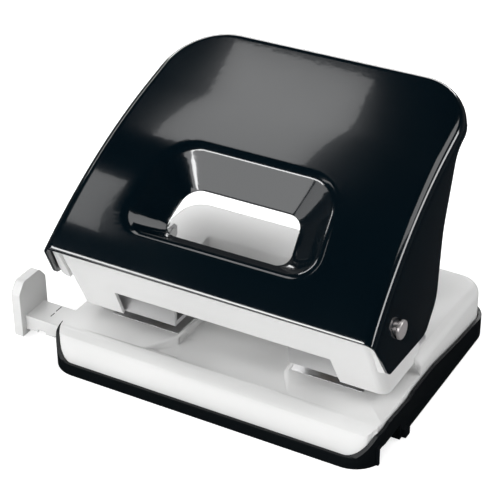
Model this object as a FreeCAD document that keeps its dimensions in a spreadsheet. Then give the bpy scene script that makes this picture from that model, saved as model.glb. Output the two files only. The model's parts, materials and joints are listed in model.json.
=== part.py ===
"""Two-hole desk punch with a pressed-steel lever, as a parametric document.

Frame: X runs across the punch (right positive), Y runs from front to back, Z is up.
The origin is on the surface that the punch stands on, below the middle of the line
between the two punches.
All sizes are in millimetres.  Every driving size lives in the sheet "Sizes".
"""
import math
import os
import re

import FreeCAD
import Part
import Sketcher

PARTS_FOLDER = "parts"
WIRE_SIDES = 8
COIL_STEPS = 16
COIL_GAP = 0.05
ORIGIN_ROLES = {"X": "YZ_Plane", "Y": "XZ_Plane", "Z": "XY_Plane"}
AXIS_TURN = {
    "X": FreeCAD.Rotation(FreeCAD.Vector(0, 1, 0), 90),
    "Y": FreeCAD.Rotation(FreeCAD.Vector(1, 0, 0), -90),
    "Z": FreeCAD.Rotation(),
}

SIZES = {
    # two holes, 80 mm apart, each 5.5 mm wide, 12.5 mm in from the paper's edge
    "hole_pitch": 80.0, "punch_radius": 2.75, "edge_distance": 12.5,
    # white base cover
    "base_half_width": 75.5, "base_front": 35.5, "base_rear": 83.2, "base_bottom": 2.0,
    "base_corner": 12.0, "table_top": 17.0, "apron_radius": 11.0, "skin": 1.8,
    "block_top": 24.5, "block_round": 4.0, "slot_top": 21.8,
    "well_half_width": 50.0, "well_front": 21.0, "well_rear": 56.0,
    "recess_front": 25.0, "recess_wide": 35.0, "recess_narrow": 25.5, "recess_depth": 3.8,
    # steel frames that carry the punches
    "sheet": 2.0, "frame_inner": 27.0, "frame_outer": 60.0, "frame_front": 9.0,
    "frame_top": 42.0, "frame_roof_front": 8.0, "guide_front": 11.0, "guide_lip_top": 31.0,
    "guide_bottom": 22.0, "guide_leg_top": 36.0, "ledge_bottom": 13.0, "ledge_margin": 2.0,
    # punches and their springs
    "punch_tip": 22.0, "punch_head_bottom": 55.0, "punch_head_top": 64.0,
    "punch_head_radius": 4.5, "clip_level": 38.2, "clip_thick": 0.8, "clip_radius": 5.0,
    "clip_groove": 2.3, "bush_radius": 4.5, "bush_collar_radius": 5.6, "bush_collar": 0.8,
    "slide_gap": 0.08, "spring_radius": 4.2, "spring_wire": 0.45, "spring_turns": 4.5,
    # lever and its pivot
    "pivot_y": 13.3, "pivot_level": 55.6, "pivot_radius": 3.0, "rivet_head_radius": 4.0,
    "rivet_head": 1.4, "rivet_foot": 1.5, "rivet_gap": 0.15, "washer_gap": 0.3,
    "lever_half_width": 75.9, "lever_sheet": 1.2, "lever_fold": 4.5,
    "lever_taper": 0.11, "lever_front_y": 34.3, "lever_front_level": 59.7,
    "lever_face_radius": 212.0, "lever_front_slope": 43.0,
    "lever_bend_y": 41.4, "lever_bend_level": 105.1, "lever_back_y": 79.5,
    "lever_back_level": 118.2, "lever_flange_level": 109.5, "lever_corner": 28.0,
    "tip_y": 24.6, "tip_level": 41.0, "sole_y": 9.5, "sole_level": 40.2,
    "heel_y": 21.5, "heel_level": 49.8, "waist_y": 31.5, "waist_level": 75.5,
    "nape_y": 49.5, "nape_level": 103.0,
    # dished grip opening in the lever's face
    "grip_slope": 32.2, "grip_y": -2.8, "grip_level": 83.3, "grip_half_width": 42.5,
    "grip_half_length": 22.0, "grip_corner": 14.0, "grip_hole_half_width": 28.0,
    "grip_hole_half_length": 12.0, "grip_hole_corner": 6.5, "grip_depth": 9.6,
    "grip_rise": 4.0, "grip_skin": 1.9, "grip_round": 1.8, "grip_hole_shift": -4.8,
    # brackets that turn the lever's swing into the punch stroke
    "drive_inner": 34.0, "drive_outer": 46.0, "drive_sheet": 1.2, "drive_pin_level": 59.5,
    "drive_pin_radius": 2.0, "drive_arm": 13.86, "drive_slot_half_width": 2.8,
    "drive_slot_half_height": 2.15,
    # white mechanism cover behind the lever's front edge
    "cover_half_width": 72.5, "cover_sheet": 1.5, "cover_top_y": 30.5, "cover_top": 58.0,
    "cover_foot_y": 13.2, "cover_rear": 17.0, "cover_rear_top": 42.0, "cover_fold": 4.0,
    "arch_half_width": 52.0, "arch_top_half_width": 50.5, "arch_top": 36.8,
    # side brackets that hold the pivot
    "side_inner": 69.0, "side_foot_inner": 56.0, "side_foot_rear": 27.0,
    "foot_screw_back": 6.0, "bracket_foot": 7.0, "bracket_front": 20.0, "bracket_rear": 4.0,
    "bracket_front_level": 50.0, "bracket_waist_y": 15.0, "bracket_waist": 40.0,
    # black chip tray
    "tray_half_width": 77.4, "tray_front": 36.9, "tray_rear": 84.9, "tray_wall": 1.4,
    "tray_floor": 1.6, "tray_corner": 13.4, "tray_band": 5.5, "tray_high": 16.0,
    "tray_low_left": 12.2, "hinge_y": 85.4, "hinge_level": 9.5, "hinge_radius": 1.9,
    "hinge_pin_radius": 1.0, "ear_inner": 44.0, "ear_outer": 52.0, "ear_clearance": 0.5,
    "knuckle_gap": 0.3, "pin_inner": 39.0, "pin_outer": 57.0,
    "niche_front": 28.0, "niche_rear": 10.0, "niche_top": 7.5, "niche_depth": 10.0,
    # paper guide
    "stop_face": 98.0, "stop_thick": 5.0, "stop_top": 28.0, "stop_front": 24.5,
    "stop_rear": 5.0, "bar_front": 21.5, "bar_rear": 7.5, "bar_bottom": 4.0, "bar_top": 11.0,
    "bar_inner_end": 11.5, "rail_gap": 0.35, "rail_wall": 2.0,
    # leaf that holds the guide bar
    "leaf_outer": 66.0, "leaf_seat": 59.0, "leaf_dip": 52.0, "leaf_inner": 46.0,
    "leaf_sheet": 0.4, "leaf_gap": 0.15, "leaf_rise": 2.0, "leaf_rear": 13.0, "leaf_wide": 3.0,
    # screws
    "screw_radius": 1.5, "screw_head_radius": 2.75, "screw_head": 2.0,
}

DOC = FreeCAD.newDocument("TwoHolePunch")
SHEET = DOC.addObject("Spreadsheet::Sheet", "Sizes")
PIECES = []


def fill_sheet():
    """Write every driving size and its alias into the sheet."""
    for row, (alias, value) in enumerate(SIZES.items(), start=1):
        SHEET.set("A%d" % row, alias)
        SHEET.set("B%d" % row, str(value))
        SHEET.setAlias("B%d" % row, alias)
    DOC.recompute()


def linked(formula):
    """Return the formula with each size name pointing at the sheet."""
    def point(match):
        word = match.group(0)
        return "Sizes." + word if word in SIZES else word
    return re.sub(r"[a-z][a-z_]+", point, str(formula))


def number(formula):
    """Return the present value of a formula of sheet sizes."""
    return float(SHEET.evalExpression(linked(formula).replace("Sizes.", "")))


def tie(item, prop, formula):
    """Bind one property of an object to a formula of sheet sizes."""
    item.setExpression(prop, linked(formula))


class Piece:
    """One sub-part: a body built from sketches and primitives tied to the sheet."""

    def __init__(self, label):
        self.label = label
        self.body = DOC.addObject("PartDesign::Body", label)
        self.count = 0
        PIECES.append(self.body)

    def new_feature(self, kind):
        """Add a feature of the given kind, named after the piece."""
        self.count += 1
        name = "%s_%s_%d" % (self.label, kind.split("::")[1], self.count)
        return self.body.newObject(kind, name)

    def shape(self):
        """Return the body's present shape."""
        DOC.recompute()
        return self.body.Shape

    def sketch(self, axis, points, offset="0", arcs=None):
        """Draw a closed outline on the origin plane square to an axis.

        points holds pairs of formulas; arcs maps a side's index to its radius.
        """
        arcs = arcs or {}
        drawing = self.new_feature("Sketcher::SketchObject")
        role = ORIGIN_ROLES[axis]
        plane = [p for p in self.body.Origin.OriginFeatures if p.Role == role][0]
        drawing.AttachmentSupport = [(plane, "")]
        drawing.MapMode = "FlatFace"
        tie(drawing, "AttachmentOffset.Base.z", offset)
        corners = [FreeCAD.Vector(number(across), number(up), 0) for across, up in points]
        total = len(corners)
        for index, corner in enumerate(corners):
            following = corners[(index + 1) % total]
            if index in arcs:
                middle = arc_middle(corner, following, number(arcs[index]))
                side = Part.Arc(corner, middle, following)
            else:
                side = Part.LineSegment(corner, following)
            drawing.addGeometry(side, False)
        ends = [arc_ends(drawing, index) for index in range(total)]
        for index in range(total):
            following = (index + 1) % total
            drawing.addConstraint(
                Sketcher.Constraint("Coincident", index, ends[index][1], following,
                                    ends[following][0]))
        for index, (across, up) in enumerate(points):
            for kind, formula in (("DistanceX", across), ("DistanceY", up)):
                rule = Sketcher.Constraint(kind, -1, 1, index, ends[index][0], number(formula))
                place = drawing.addConstraint(rule)
                tie(drawing, "Constraints[%d]" % place, formula)
        for index, radius in arcs.items():
            rule = Sketcher.Constraint("Radius", index, number(radius))
            place = drawing.addConstraint(rule)
            tie(drawing, "Constraints[%d]" % place, radius)
        return drawing

    def pad(self, axis, points, thick, offset="0", both=False, arcs=None):
        """Add the outline's prism, from the offset plane along the plane's normal."""
        feature = self._pad_or_pocket("PartDesign::Pad", axis, points, thick, offset, both, arcs)
        return feature

    def pocket(self, axis, points, thick, offset="0", both=False, arcs=None):
        """Cut the outline's prism, from the offset plane against the plane's normal."""
        return self._pad_or_pocket("PartDesign::Pocket", axis, points, thick, offset, both, arcs)

    def _pad_or_pocket(self, kind, axis, points, thick, offset, both, arcs):
        drawing = self.sketch(axis, points, offset, arcs)
        feature = self.new_feature(kind)
        feature.Profile = drawing
        if both:
            feature.SideType = "Symmetric"
        tie(feature, "Length", thick)
        return feature

    def box(self, low, high, cut=False):
        """Add or cut the box between two corners given as formulas."""
        feature = self.new_feature("PartDesign::SubtractiveBox" if cut else "PartDesign::AdditiveBox")
        for prop, axis, start, end in zip(("Length", "Width", "Height"), "xyz", low, high):
            tie(feature, prop, "(%s) - (%s)" % (end, start))
            tie(feature, "Placement.Base." + axis, start)
        return feature

    def rod(self, axis, start, radius, length, cut=False):
        """Add or cut a round bar along an axis from a start point."""
        kind = "PartDesign::SubtractiveCylinder" if cut else "PartDesign::AdditiveCylinder"
        feature = self.new_feature(kind)
        feature.Placement = FreeCAD.Placement(FreeCAD.Vector(), AXIS_TURN[axis])
        tie(feature, "Radius", radius)
        tie(feature, "Height", length)
        for name, formula in zip("xyz", start):
            tie(feature, "Placement.Base." + name, formula)
        return feature

    def round_edges(self, test, radius):
        """Round the edges of the present shape that pass a test."""
        shape = self.shape()
        names = ["Edge%d" % (i + 1) for i, edge in enumerate(shape.Edges) if test(edge)]
        if not names:
            raise RuntimeError("no edge to round on " + self.label)
        base = self.body.Tip
        feature = self.new_feature("PartDesign::Fillet")
        feature.Base = (base, names)
        tie(feature, "Radius", radius)
        return feature

    def hollow(self, opens, thick):
        """Turn the solid into a skin, open at the faces that pass a test."""
        shape = self.shape()
        names = ["Face%d" % (i + 1) for i, face in enumerate(shape.Faces) if opens(face)]
        base = self.body.Tip
        feature = self.new_feature("PartDesign::Thickness")
        feature.Base = (base, names)
        feature.Reversed = True
        feature.Join = "Intersection"
        tie(feature, "Value", thick)
        return feature


def arc_middle(start, end, radius):
    """Return the middle of the arc that bulges to the left of start to end."""
    chord = end - start
    half = chord.Length / 2
    rise = radius - (radius * radius - half * half) ** 0.5
    normal = FreeCAD.Vector(-chord.y, chord.x, 0).normalize()
    return (start + end) * 0.5 + normal * rise


def arc_ends(drawing, index):
    """Return which ends of a sketch side are its start and its finish.

    An arc is stored anticlockwise, so one drawn clockwise has its ends swapped.
    """
    side = drawing.Geometry[index]
    if isinstance(side, Part.ArcOfCircle):
        return (2, 1)
    return (1, 2)


def along(edge, axis):
    """Tell whether a straight edge runs along X, Y or Z."""
    if not isinstance(edge.Curve, Part.Line):
        return False
    direction = edge.tangentAt(edge.FirstParameter)
    return abs(abs(getattr(direction, axis)) - 1) < 1e-6


def near(value, formula, slack=0.05):
    """Tell whether a coordinate equals a formula's value."""
    return abs(value - number(formula)) < slack


def right_or_left(side):
    """Return the sign of a side named "right" or "left"."""
    return 1 if side == "right" else -1


def between(side, near_end, far_end):
    """Return the low and high X formulas of a span that is given for the right side."""
    if side == "right":
        return near_end, far_end
    return "-(%s)" % far_end, "-(%s)" % near_end


def carve_base_cavity(piece):
    """Cut the hollow below the table and inside the block, leaving an even skin."""
    roof, block_roof = "table_top - skin", "block_top - skin"
    front, rear = "-base_front + skin", "base_rear - skin"
    near_corner, far_corner = "base_corner - base_front", "base_rear - base_corner"
    step = "edge_distance + skin"
    piece.pocket("X", [
        (front, "0"), (front, "table_top - apron_radius"),
        ("-base_front + apron_radius", roof), (step, roof), (step, block_roof),
        (rear, block_roof), (rear, "0")], "2 * (base_half_width - base_corner)", both=True,
        arcs={1: "apron_radius - skin"})
    piece.pocket("X", [
        (near_corner, "0"), (near_corner, roof), (step, roof), (step, block_roof),
        (far_corner, block_roof), (far_corner, "0")], "2 * (base_half_width - skin)", both=True)
    for sign in (1, -1):
        across = "%d * (base_half_width - base_corner)" % sign
        piece.rod("Z", (across, near_corner, "0"), "base_corner - skin", "base_bottom + 6",
                  cut=True)
        piece.rod("Z", (across, far_corner, "0"), "base_corner - skin",
                  "block_top - block_round", cut=True)
    for side in ("right", "left"):
        low, high = between(side, "base_half_width - base_corner - 1", "base_half_width - 4")
        piece.box((low, "-base_front + 9.5", "0"), (high, near_corner + " + 1", "table_top - 3"),
                  cut=True)


def make_base_cover():
    """White moulded base: table, apron, rear block with its well, and rails inside."""
    piece = Piece("base_cover")
    width = "2 * base_half_width"
    piece.pad("X", [
        ("-base_front", "base_bottom"), ("-base_front", "table_top - apron_radius"),
        ("-base_front + apron_radius", "table_top"), ("edge_distance", "table_top"),
        ("edge_distance", "block_top"), ("base_rear", "block_top"),
        ("base_rear", "base_bottom")], width, both=True, arcs={1: "apron_radius"})
    piece.round_edges(lambda e: along(e, "z") and e.CenterOfMass.y > number("base_rear - 1"),
                      "base_corner")
    start, end = "base_half_width - base_corner", "base_corner - base_front"
    far_x, far_y = "base_half_width + 5", "-base_front - 5"
    piece.pocket("Z", [("base_half_width", end), (start, "-base_front"), (start, far_y),
                       (far_x, far_y), (far_x, end)], "100", both=True,
                 arcs={0: "base_corner"})
    piece.pocket("Z", [("-(%s)" % start, "-base_front"), ("-base_half_width", end),
                       ("-(%s)" % far_x, end), ("-(%s)" % far_x, far_y),
                       ("-(%s)" % start, far_y)], "100", both=True, arcs={0: "base_corner"})
    piece.round_edges(
        lambda e: near(e.CenterOfMass.z, "block_top")
        and not near(e.CenterOfMass.y, "edge_distance")
        and min(v.Z for v in e.Vertexes) > number("block_top - 0.1"), "block_round")
    carve_base_cavity(piece)
    tub = "table_top - recess_depth - skin"
    wide, narrow = "(recess_wide + skin)", "(recess_narrow + skin)"
    piece.pad("Z", [
        ("-" + wide, "-recess_front - skin"), (wide, "-recess_front - skin"),
        (narrow, "-frame_front - 3"), (narrow, "edge_distance"),
        ("-" + narrow, "edge_distance"), ("-" + narrow, "-frame_front - 3")],
        "recess_depth + skin - 0.5", offset=tub)
    piece.box(("-well_half_width - skin", "well_front - skin", "table_top - skin"),
              ("well_half_width + skin", "well_rear + skin", "block_top - 0.5"))
    web_back = "edge_distance + 0.6 + sheet"
    for side in ("right", "left"):
        low, high = between(side, "frame_inner - 0.5 - skin", "frame_outer + 0.5 + skin")
        piece.box((low, "edge_distance + 0.2", "ledge_bottom"),
                  (high, web_back + " + skin", "block_top - 0.5"))
    piece.box(("-well_half_width", "well_front", "table_top"),
              ("well_half_width", "well_rear", "block_top + 1"), cut=True)
    for side in ("right", "left"):
        low, high = between(side, "frame_inner - 0.5", "frame_outer + 0.5")
        piece.box((low, "edge_distance - 1", "table_top"), (high, web_back, "block_top + 1"),
                  cut=True)
    piece.pocket("Z", [
        ("-recess_wide", "-recess_front"), ("recess_wide", "-recess_front"),
        ("recess_narrow", "-frame_front - 3"), ("recess_narrow", "edge_distance - 1"),
        ("-recess_narrow", "edge_distance - 1"), ("-recess_narrow", "-frame_front - 3")],
        "recess_depth", offset="table_top")
    piece.round_edges(
        lambda e: near(e.CenterOfMass.z, "table_top - recess_depth")
        and near(e.CenterOfMass.y, "-recess_front"), "recess_depth * 0.7")
    piece.box(("tray_half_width - niche_depth - tray_wall - 0.4",
               "-niche_front - tray_wall - 0.3", "0"),
              ("base_half_width + 1", "-niche_rear + tray_wall + 0.3",
               "niche_top + tray_wall + 0.3"), cut=True)
    rail_left = "-base_half_width + 0.5"
    rail_right = "-bar_inner_end - 8"
    for face, inward in (("-bar_front - rail_gap", 1), ("-bar_rear + rail_gap", -1)):
        wall = "(%s) - %d * rail_wall" % (face, inward)
        lip = "(%s) + %d * 1.6" % (face, inward)
        first, second = (wall, face) if inward > 0 else (face, wall)
        piece.box((rail_left, first, "base_bottom + 0.2"),
                  (rail_right, second, "table_top - skin + 0.2"))
        first, second = (face, lip) if inward > 0 else (lip, face)
        piece.box((rail_left, first, "base_bottom + 0.2"),
                  (rail_right, second, "bar_bottom - 0.25"))
    for side in ("right", "left"):
        low, high = between(side, "frame_inner - ledge_margin", "frame_outer + ledge_margin")
        piece.box((low, "-frame_front - ledge_margin", "ledge_bottom"),
                  (high, "edge_distance + 0.5 + sheet + ledge_margin", "table_top - 0.2"))
        low, high = between(side, "frame_inner - 0.2", "frame_outer + 0.2")
        piece.box((low, "-frame_front - 0.2", "table_top - sheet"),
                  (high, "edge_distance + 0.6 + sheet", "table_top + 0.1"), cut=True)
        centre = "%d * hole_pitch / 2" % right_or_left(side)
        piece.rod("Z", (centre, "0", "ledge_bottom - 1"), "bush_radius", "sheet + 2", cut=True)
        for across in ("frame_inner + 4", "frame_outer - 4"):
            place = "%d * (%s)" % (right_or_left(side), across)
            piece.rod("Z", (place, "5", "ledge_bottom - 1"), "screw_radius + 0.15",
                      "sheet + 2", cut=True)
        screw = "%d * (side_foot_inner + side_inner) / 2" % right_or_left(side)
        piece.rod("Z", (screw, "side_foot_rear - foot_screw_back", "table_top"), "screw_radius + 2.4",
                  "block_top - table_top - 0.5")
        piece.rod("Z", (screw, "side_foot_rear - foot_screw_back", "table_top + 0.5"), "screw_radius",
                  "block_top - table_top", cut=True)
        low, high = between(side, "ear_inner", "ear_outer")
        piece.box((low, "base_rear - 0.8", "hinge_level - hinge_radius"),
                  (high, "hinge_y", "hinge_level + hinge_radius"))
        piece.rod("X", (low, "hinge_y", "hinge_level"), "hinge_radius",
                  "ear_outer - ear_inner")
        piece.rod("X", (low + " - 1", "hinge_y", "hinge_level"), "hinge_pin_radius",
                  "ear_outer - ear_inner + 2", cut=True)
    piece.box(("-base_half_width - 1", "-bar_front - rail_gap", "bar_bottom - 0.25"),
              ("-base_half_width + 5", "-bar_rear + rail_gap", "bar_top + 0.4"), cut=True)
    piece.box(("-leaf_outer + 1", "-leaf_rear - leaf_wide", "bar_top + leaf_rise"),
              ("-leaf_seat", "-leaf_rear", "table_top - skin + 0.2"))
    return piece


def make_mechanism_cover():
    """White hood behind the lever's front edge, with the arch over the paper slot."""
    piece = Piece("mechanism_cover")
    piece.pad("X", [
        ("-cover_top_y", "cover_top"), ("-cover_foot_y", "slot_top"),
        ("edge_distance - 0.3", "slot_top"), ("edge_distance - 0.3", "block_top + 0.1"),
        ("cover_rear", "block_top + 0.1"), ("cover_rear", "cover_rear_top"),
        ("0", "cover_top")], "2 * cover_half_width", both=True)

    def on_front(shape):
        top = FreeCAD.Vector(0, number("-cover_top_y"), number("cover_top"))
        foot = FreeCAD.Vector(0, number("-cover_foot_y"), number("slot_top"))
        slope = (foot - top).normalize()
        normal = FreeCAD.Vector(0, slope.z, -slope.y)
        gap = (shape.CenterOfMass - top).dot(normal)
        return abs(gap) < 0.3

    def fold(edge):
        return on_front(edge) and abs(edge.CenterOfMass.x) > number("cover_half_width - 0.1")

    piece.round_edges(fold, "cover_fold")
    limit = number("cover_half_width - cover_fold - 0.1")

    def opens(face):
        on_side = abs(face.CenterOfMass.x) > limit
        return not on_side and not on_front(face)

    piece.hollow(opens, "cover_sheet")
    piece.pocket("Y", [
        ("-arch_half_width", "slot_top - 5"), ("arch_half_width", "slot_top - 5"),
        ("arch_top_half_width", "arch_top"), ("-arch_top_half_width", "arch_top")],
        "80", both=True)
    piece.rod("X", ("-cover_half_width - 1", "-pivot_y", "pivot_level"), "pivot_radius",
              "2 * cover_half_width + 2", cut=True)
    return piece


def make_punch_frame(side):
    """Steel channel: die plate below the paper, back web, and roof that guides the punch."""
    piece = Piece("punch_frame_" + side)
    low, high = between(side, "frame_inner", "frame_outer")
    back = "edge_distance + 0.5"
    piece.pad("X", [
        ("-frame_front", "table_top - sheet"), (back + " + sheet", "table_top - sheet"),
        (back + " + sheet", "frame_top"), ("-frame_roof_front", "frame_top"),
        ("-frame_roof_front", "frame_top - sheet"), (back, "frame_top - sheet"),
        (back, "table_top"), ("-frame_front", "table_top")],
        "frame_outer - frame_inner", offset=low)
    piece.round_edges(
        lambda e: along(e, "x") and near(e.CenterOfMass.y, back + " + sheet"), "sheet")
    centre = "%d * hole_pitch / 2" % right_or_left(side)
    piece.rod("Z", (centre, "0", "table_top - sheet - 1"), "punch_radius + slide_gap", "sheet + 2",
              cut=True)
    piece.rod("Z", (centre, "0", "frame_top - sheet - 1"), "punch_radius + slide_gap",
              "sheet + 2", cut=True)
    for across in ("frame_inner + 4", "frame_outer - 4"):
        place = "%d * (%s)" % (right_or_left(side), across)
        piece.rod("Z", (place, "5", "table_top - sheet - 1"), "screw_radius", "sheet + 2",
                  cut=True)
        piece.rod("Y", (place, back + " - 1", "guide_leg_top - 4"), "screw_radius",
                  "sheet + 2", cut=True)
    return piece


def make_punch_guide(side):
    """Steel angle above the paper slot that holds the lower guide bush."""
    piece = Piece("punch_guide_" + side)
    low, high = between(side, "frame_inner", "frame_outer")
    back = "edge_distance + 0.5"
    piece.pad("X", [
        ("-guide_front", "guide_bottom"), (back, "guide_bottom"), (back, "guide_leg_top"),
        (back + " - 1.6", "guide_leg_top"), (back + " - 1.6", "guide_bottom + sheet"),
        ("-guide_front + 1.6", "guide_bottom + sheet"), ("-guide_front + 1.6", "guide_lip_top"),
        ("-guide_front", "guide_lip_top")], "frame_outer - frame_inner", offset=low)
    centre = "%d * hole_pitch / 2" % right_or_left(side)
    piece.rod("Z", (centre, "0", "guide_bottom - 1"), "bush_radius", "sheet + 2", cut=True)
    for across in ("frame_inner + 4", "frame_outer - 4"):
        place = "%d * (%s)" % (right_or_left(side), across)
        piece.rod("Y", (place, back + " - 3", "guide_leg_top - 4"), "screw_radius",
                  "sheet + 3", cut=True)
    return piece


def make_guide_rivets(side):
    """Two flush-shank rivets that join the guide's leg to the frame's web."""
    piece = Piece("guide_rivets_" + side)
    back = "edge_distance + 0.5"
    for across in ("frame_inner + 4", "frame_outer - 4"):
        place = "%d * (%s)" % (right_or_left(side), across)
        centre = (place, back + " - 1.6", "guide_leg_top - 4")
        piece.rod("Y", centre, "screw_radius", "sheet + 1.6")
        head = (place, back + " - 2.6", "guide_leg_top - 4")
        piece.rod("Y", head, "screw_head_radius - 0.3", "1")
    return piece


def make_frame_screws(side):
    """Two screws that hold a frame's die plate to the base from below."""
    piece = Piece("frame_screws_" + side)
    for across in ("frame_inner + 4", "frame_outer - 4"):
        place = "%d * (%s)" % (right_or_left(side), across)
        piece.rod("Z", (place, "5", "ledge_bottom"), "screw_radius", "table_top - ledge_bottom")
        piece.rod("Z", (place, "5", "ledge_bottom - 1.6"), "screw_head_radius", "1.6")
    return piece


def make_punch_bush(side):
    """Bronze bush in the guide that steers the punch and seats its spring."""
    piece = Piece("punch_bush_" + side)
    centre = "%d * hole_pitch / 2" % right_or_left(side)
    piece.rod("Z", (centre, "0", "guide_bottom"), "bush_radius", "sheet")
    piece.rod("Z", (centre, "0", "guide_bottom + sheet"), "bush_collar_radius", "bush_collar")
    piece.rod("Z", (centre, "0", "guide_bottom - 1"), "punch_radius + slide_gap",
              "sheet + bush_collar + 2", cut=True)
    return piece


def make_punch(side):
    """Hardened steel punch with a slotted head for the drive pin."""
    piece = Piece("punch_" + side)
    centre = "%d * hole_pitch / 2" % right_or_left(side)
    piece.rod("Z", (centre, "0", "punch_tip"), "punch_radius",
              "punch_head_bottom - punch_tip + 0.5")
    piece.rod("Z", (centre, "0", "punch_head_bottom"), "punch_head_radius",
              "punch_head_top - punch_head_bottom")
    piece.box((centre + " - 6", "-drive_slot_half_width",
               "drive_pin_level - drive_slot_half_height"),
              (centre + " + 6", "drive_slot_half_width",
               "drive_pin_level + drive_slot_half_height"), cut=True)
    piece.pocket("Y", [
        (centre + " - punch_radius - 1", "punch_tip - 1"),
        (centre + " + punch_radius + 1", "punch_tip - 1"), (centre, "punch_tip + 1.5")],
        "8", both=True)
    collar = piece.rod("Z", (centre, "0", "clip_level"), "punch_radius + 1", "clip_thick",
                       cut=True)
    collar.Label = "clip_groove_" + side
    piece.rod("Z", (centre, "0", "clip_level - 0.1"), "clip_groove", "clip_thick + 0.2")
    return piece


def make_spring_clip(side):
    """Round clip in the punch's groove that the spring pushes up."""
    piece = Piece("spring_clip_" + side)
    centre = "%d * hole_pitch / 2" % right_or_left(side)
    piece.rod("Z", (centre, "0", "clip_level"), "clip_radius", "clip_thick")
    piece.rod("Z", (centre, "0", "clip_level - 1"), "clip_groove", "clip_thick + 2", cut=True)
    piece.box((centre + " - 1.2", "-clip_radius - 1", "clip_level - 1"),
              (centre + " + 1.2", "-0.5", "clip_level + clip_thick + 1"), cut=True)
    return piece


def coil_ring(angle, radius, rise, wire):
    """Return the corners of the wire's cross-section at one angle along the coil."""
    outward = FreeCAD.Vector(math.cos(angle), math.sin(angle), 0)
    middle = outward * radius + FreeCAD.Vector(0, 0, rise)
    corners = []
    for side in range(WIRE_SIDES):
        turn = 2 * math.pi * side / WIRE_SIDES
        up = FreeCAD.Vector(0, 0, wire * math.sin(turn))
        corners.append(middle + outward * (wire * math.cos(turn)) + up)
    return corners


def make_punch_spring(side):
    """Coil spring between the bush collar and the clip, its wire drawn as flats."""
    wire = number("spring_wire")
    foot = number("guide_bottom + sheet + bush_collar") + wire + COIL_GAP
    height = number("clip_level") - wire - COIL_GAP - foot
    turns = number("spring_turns")
    steps = round(turns * COIL_STEPS)
    rings = [coil_ring(2 * math.pi * turns * step / steps, number("spring_radius"),
                       height * step / steps, wire) for step in range(steps + 1)]
    faces = []
    for lower, upper in zip(rings, rings[1:]):
        for index in range(WIRE_SIDES):
            after = (index + 1) % WIRE_SIDES
            for corners in ((lower[index], lower[after], upper[after]),
                            (lower[index], upper[after], upper[index])):
                faces.append(Part.Face(Part.makePolygon(list(corners) + [corners[0]])))
    for ring in (rings[0], rings[-1]):
        faces.append(Part.Face(Part.makePolygon(ring + [ring[0]])))
    solid = Part.Solid(Part.makeShell(faces))
    if solid.Volume < 0:
        solid.reverse()
    spring = DOC.addObject("Part::Feature", "punch_spring_" + side)
    spring.Shape = solid
    across = right_or_left(side) * number("hole_pitch / 2")
    spring.Placement = FreeCAD.Placement(FreeCAD.Vector(across, 0, foot), FreeCAD.Rotation())
    PIECES.append(spring)
    return spring


def make_side_bracket(side):
    """Steel ear that carries one pivot rivet, with a foot screwed to the block."""
    piece = Piece("side_bracket_" + side)
    low, high = between(side, "side_inner", "side_inner + sheet")
    floor = "block_top"
    piece.pad("X", [
        ("-bracket_foot", floor), ("side_foot_rear", floor),
        ("side_foot_rear", floor + " + sheet"), ("bracket_waist_y", "bracket_waist"),
        ("-bracket_rear", "pivot_level + 5"), ("-bracket_front", "pivot_level + 5"),
        ("-bracket_front", "bracket_front_level")], "sheet", offset=low)
    piece.round_edges(lambda e: along(e, "x") and e.CenterOfMass.z > number("pivot_level"), "4")
    low, high = between(side, "side_foot_inner", "side_inner + 0.5")
    piece.box((low, "edge_distance + 3", floor), (high, "side_foot_rear", floor + " + sheet"))
    start = "%d * side_inner - 5" % right_or_left(side)
    piece.rod("X", (start, "-pivot_y", "pivot_level"), "pivot_radius", "10", cut=True)
    screw = "%d * (side_foot_inner + side_inner) / 2" % right_or_left(side)
    piece.rod("Z", (screw, "side_foot_rear - foot_screw_back", "20"), "screw_radius", "10", cut=True)
    return piece


def make_bracket_screw(side):
    """Pan-head screw that holds a side bracket's foot to the block."""
    piece = Piece("bracket_screw_" + side)
    screw = "%d * (side_foot_inner + side_inner) / 2" % right_or_left(side)
    piece.rod("Z", (screw, "side_foot_rear - foot_screw_back", "table_top + 1"), "screw_radius",
              "block_top + sheet - table_top - 1")
    piece.rod("Z", (screw, "side_foot_rear - foot_screw_back", "block_top + sheet"), "screw_head_radius",
              "screw_head")
    slot = "side_foot_rear - foot_screw_back"
    piece.box((screw + " - 2", slot + " - 0.3", "block_top + sheet + 1"),
              (screw + " + 2", slot + " + 0.3", "block_top + sheet + 3"), cut=True)
    return piece


def make_pivot_rivet(side):
    """Chromed rivet on which the lever turns."""
    piece = Piece("pivot_rivet_" + side)
    centre = ("-pivot_y", "pivot_level")
    plate = "(lever_half_width + lever_taper * (lever_front_level - pivot_level"
    seat = plate + " + rivet_head_radius) + rivet_gap)"
    low, high = between(side, "side_inner - rivet_foot", seat + " + 0.2")
    piece.rod("X", (low,) + centre, "pivot_radius", seat + " - side_inner + rivet_foot + 0.2")
    low, high = between(side, seat, seat + " + rivet_head")
    piece.rod("X", (low,) + centre, "rivet_head_radius", "rivet_head")
    outer = right_or_left(side) * number(seat + " + rivet_head")
    rim = number("pivot_y + rivet_head_radius")
    piece.round_edges(
        lambda e: abs(e.CenterOfMass.x - outer) < 0.01 and abs(e.BoundBox.YMin + rim) < 0.01,
        "0.6")
    low, high = between(side, "side_inner - rivet_foot", "side_inner")
    piece.rod("X", (low,) + centre, "pivot_radius + 1", "rivet_foot")
    return piece


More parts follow.
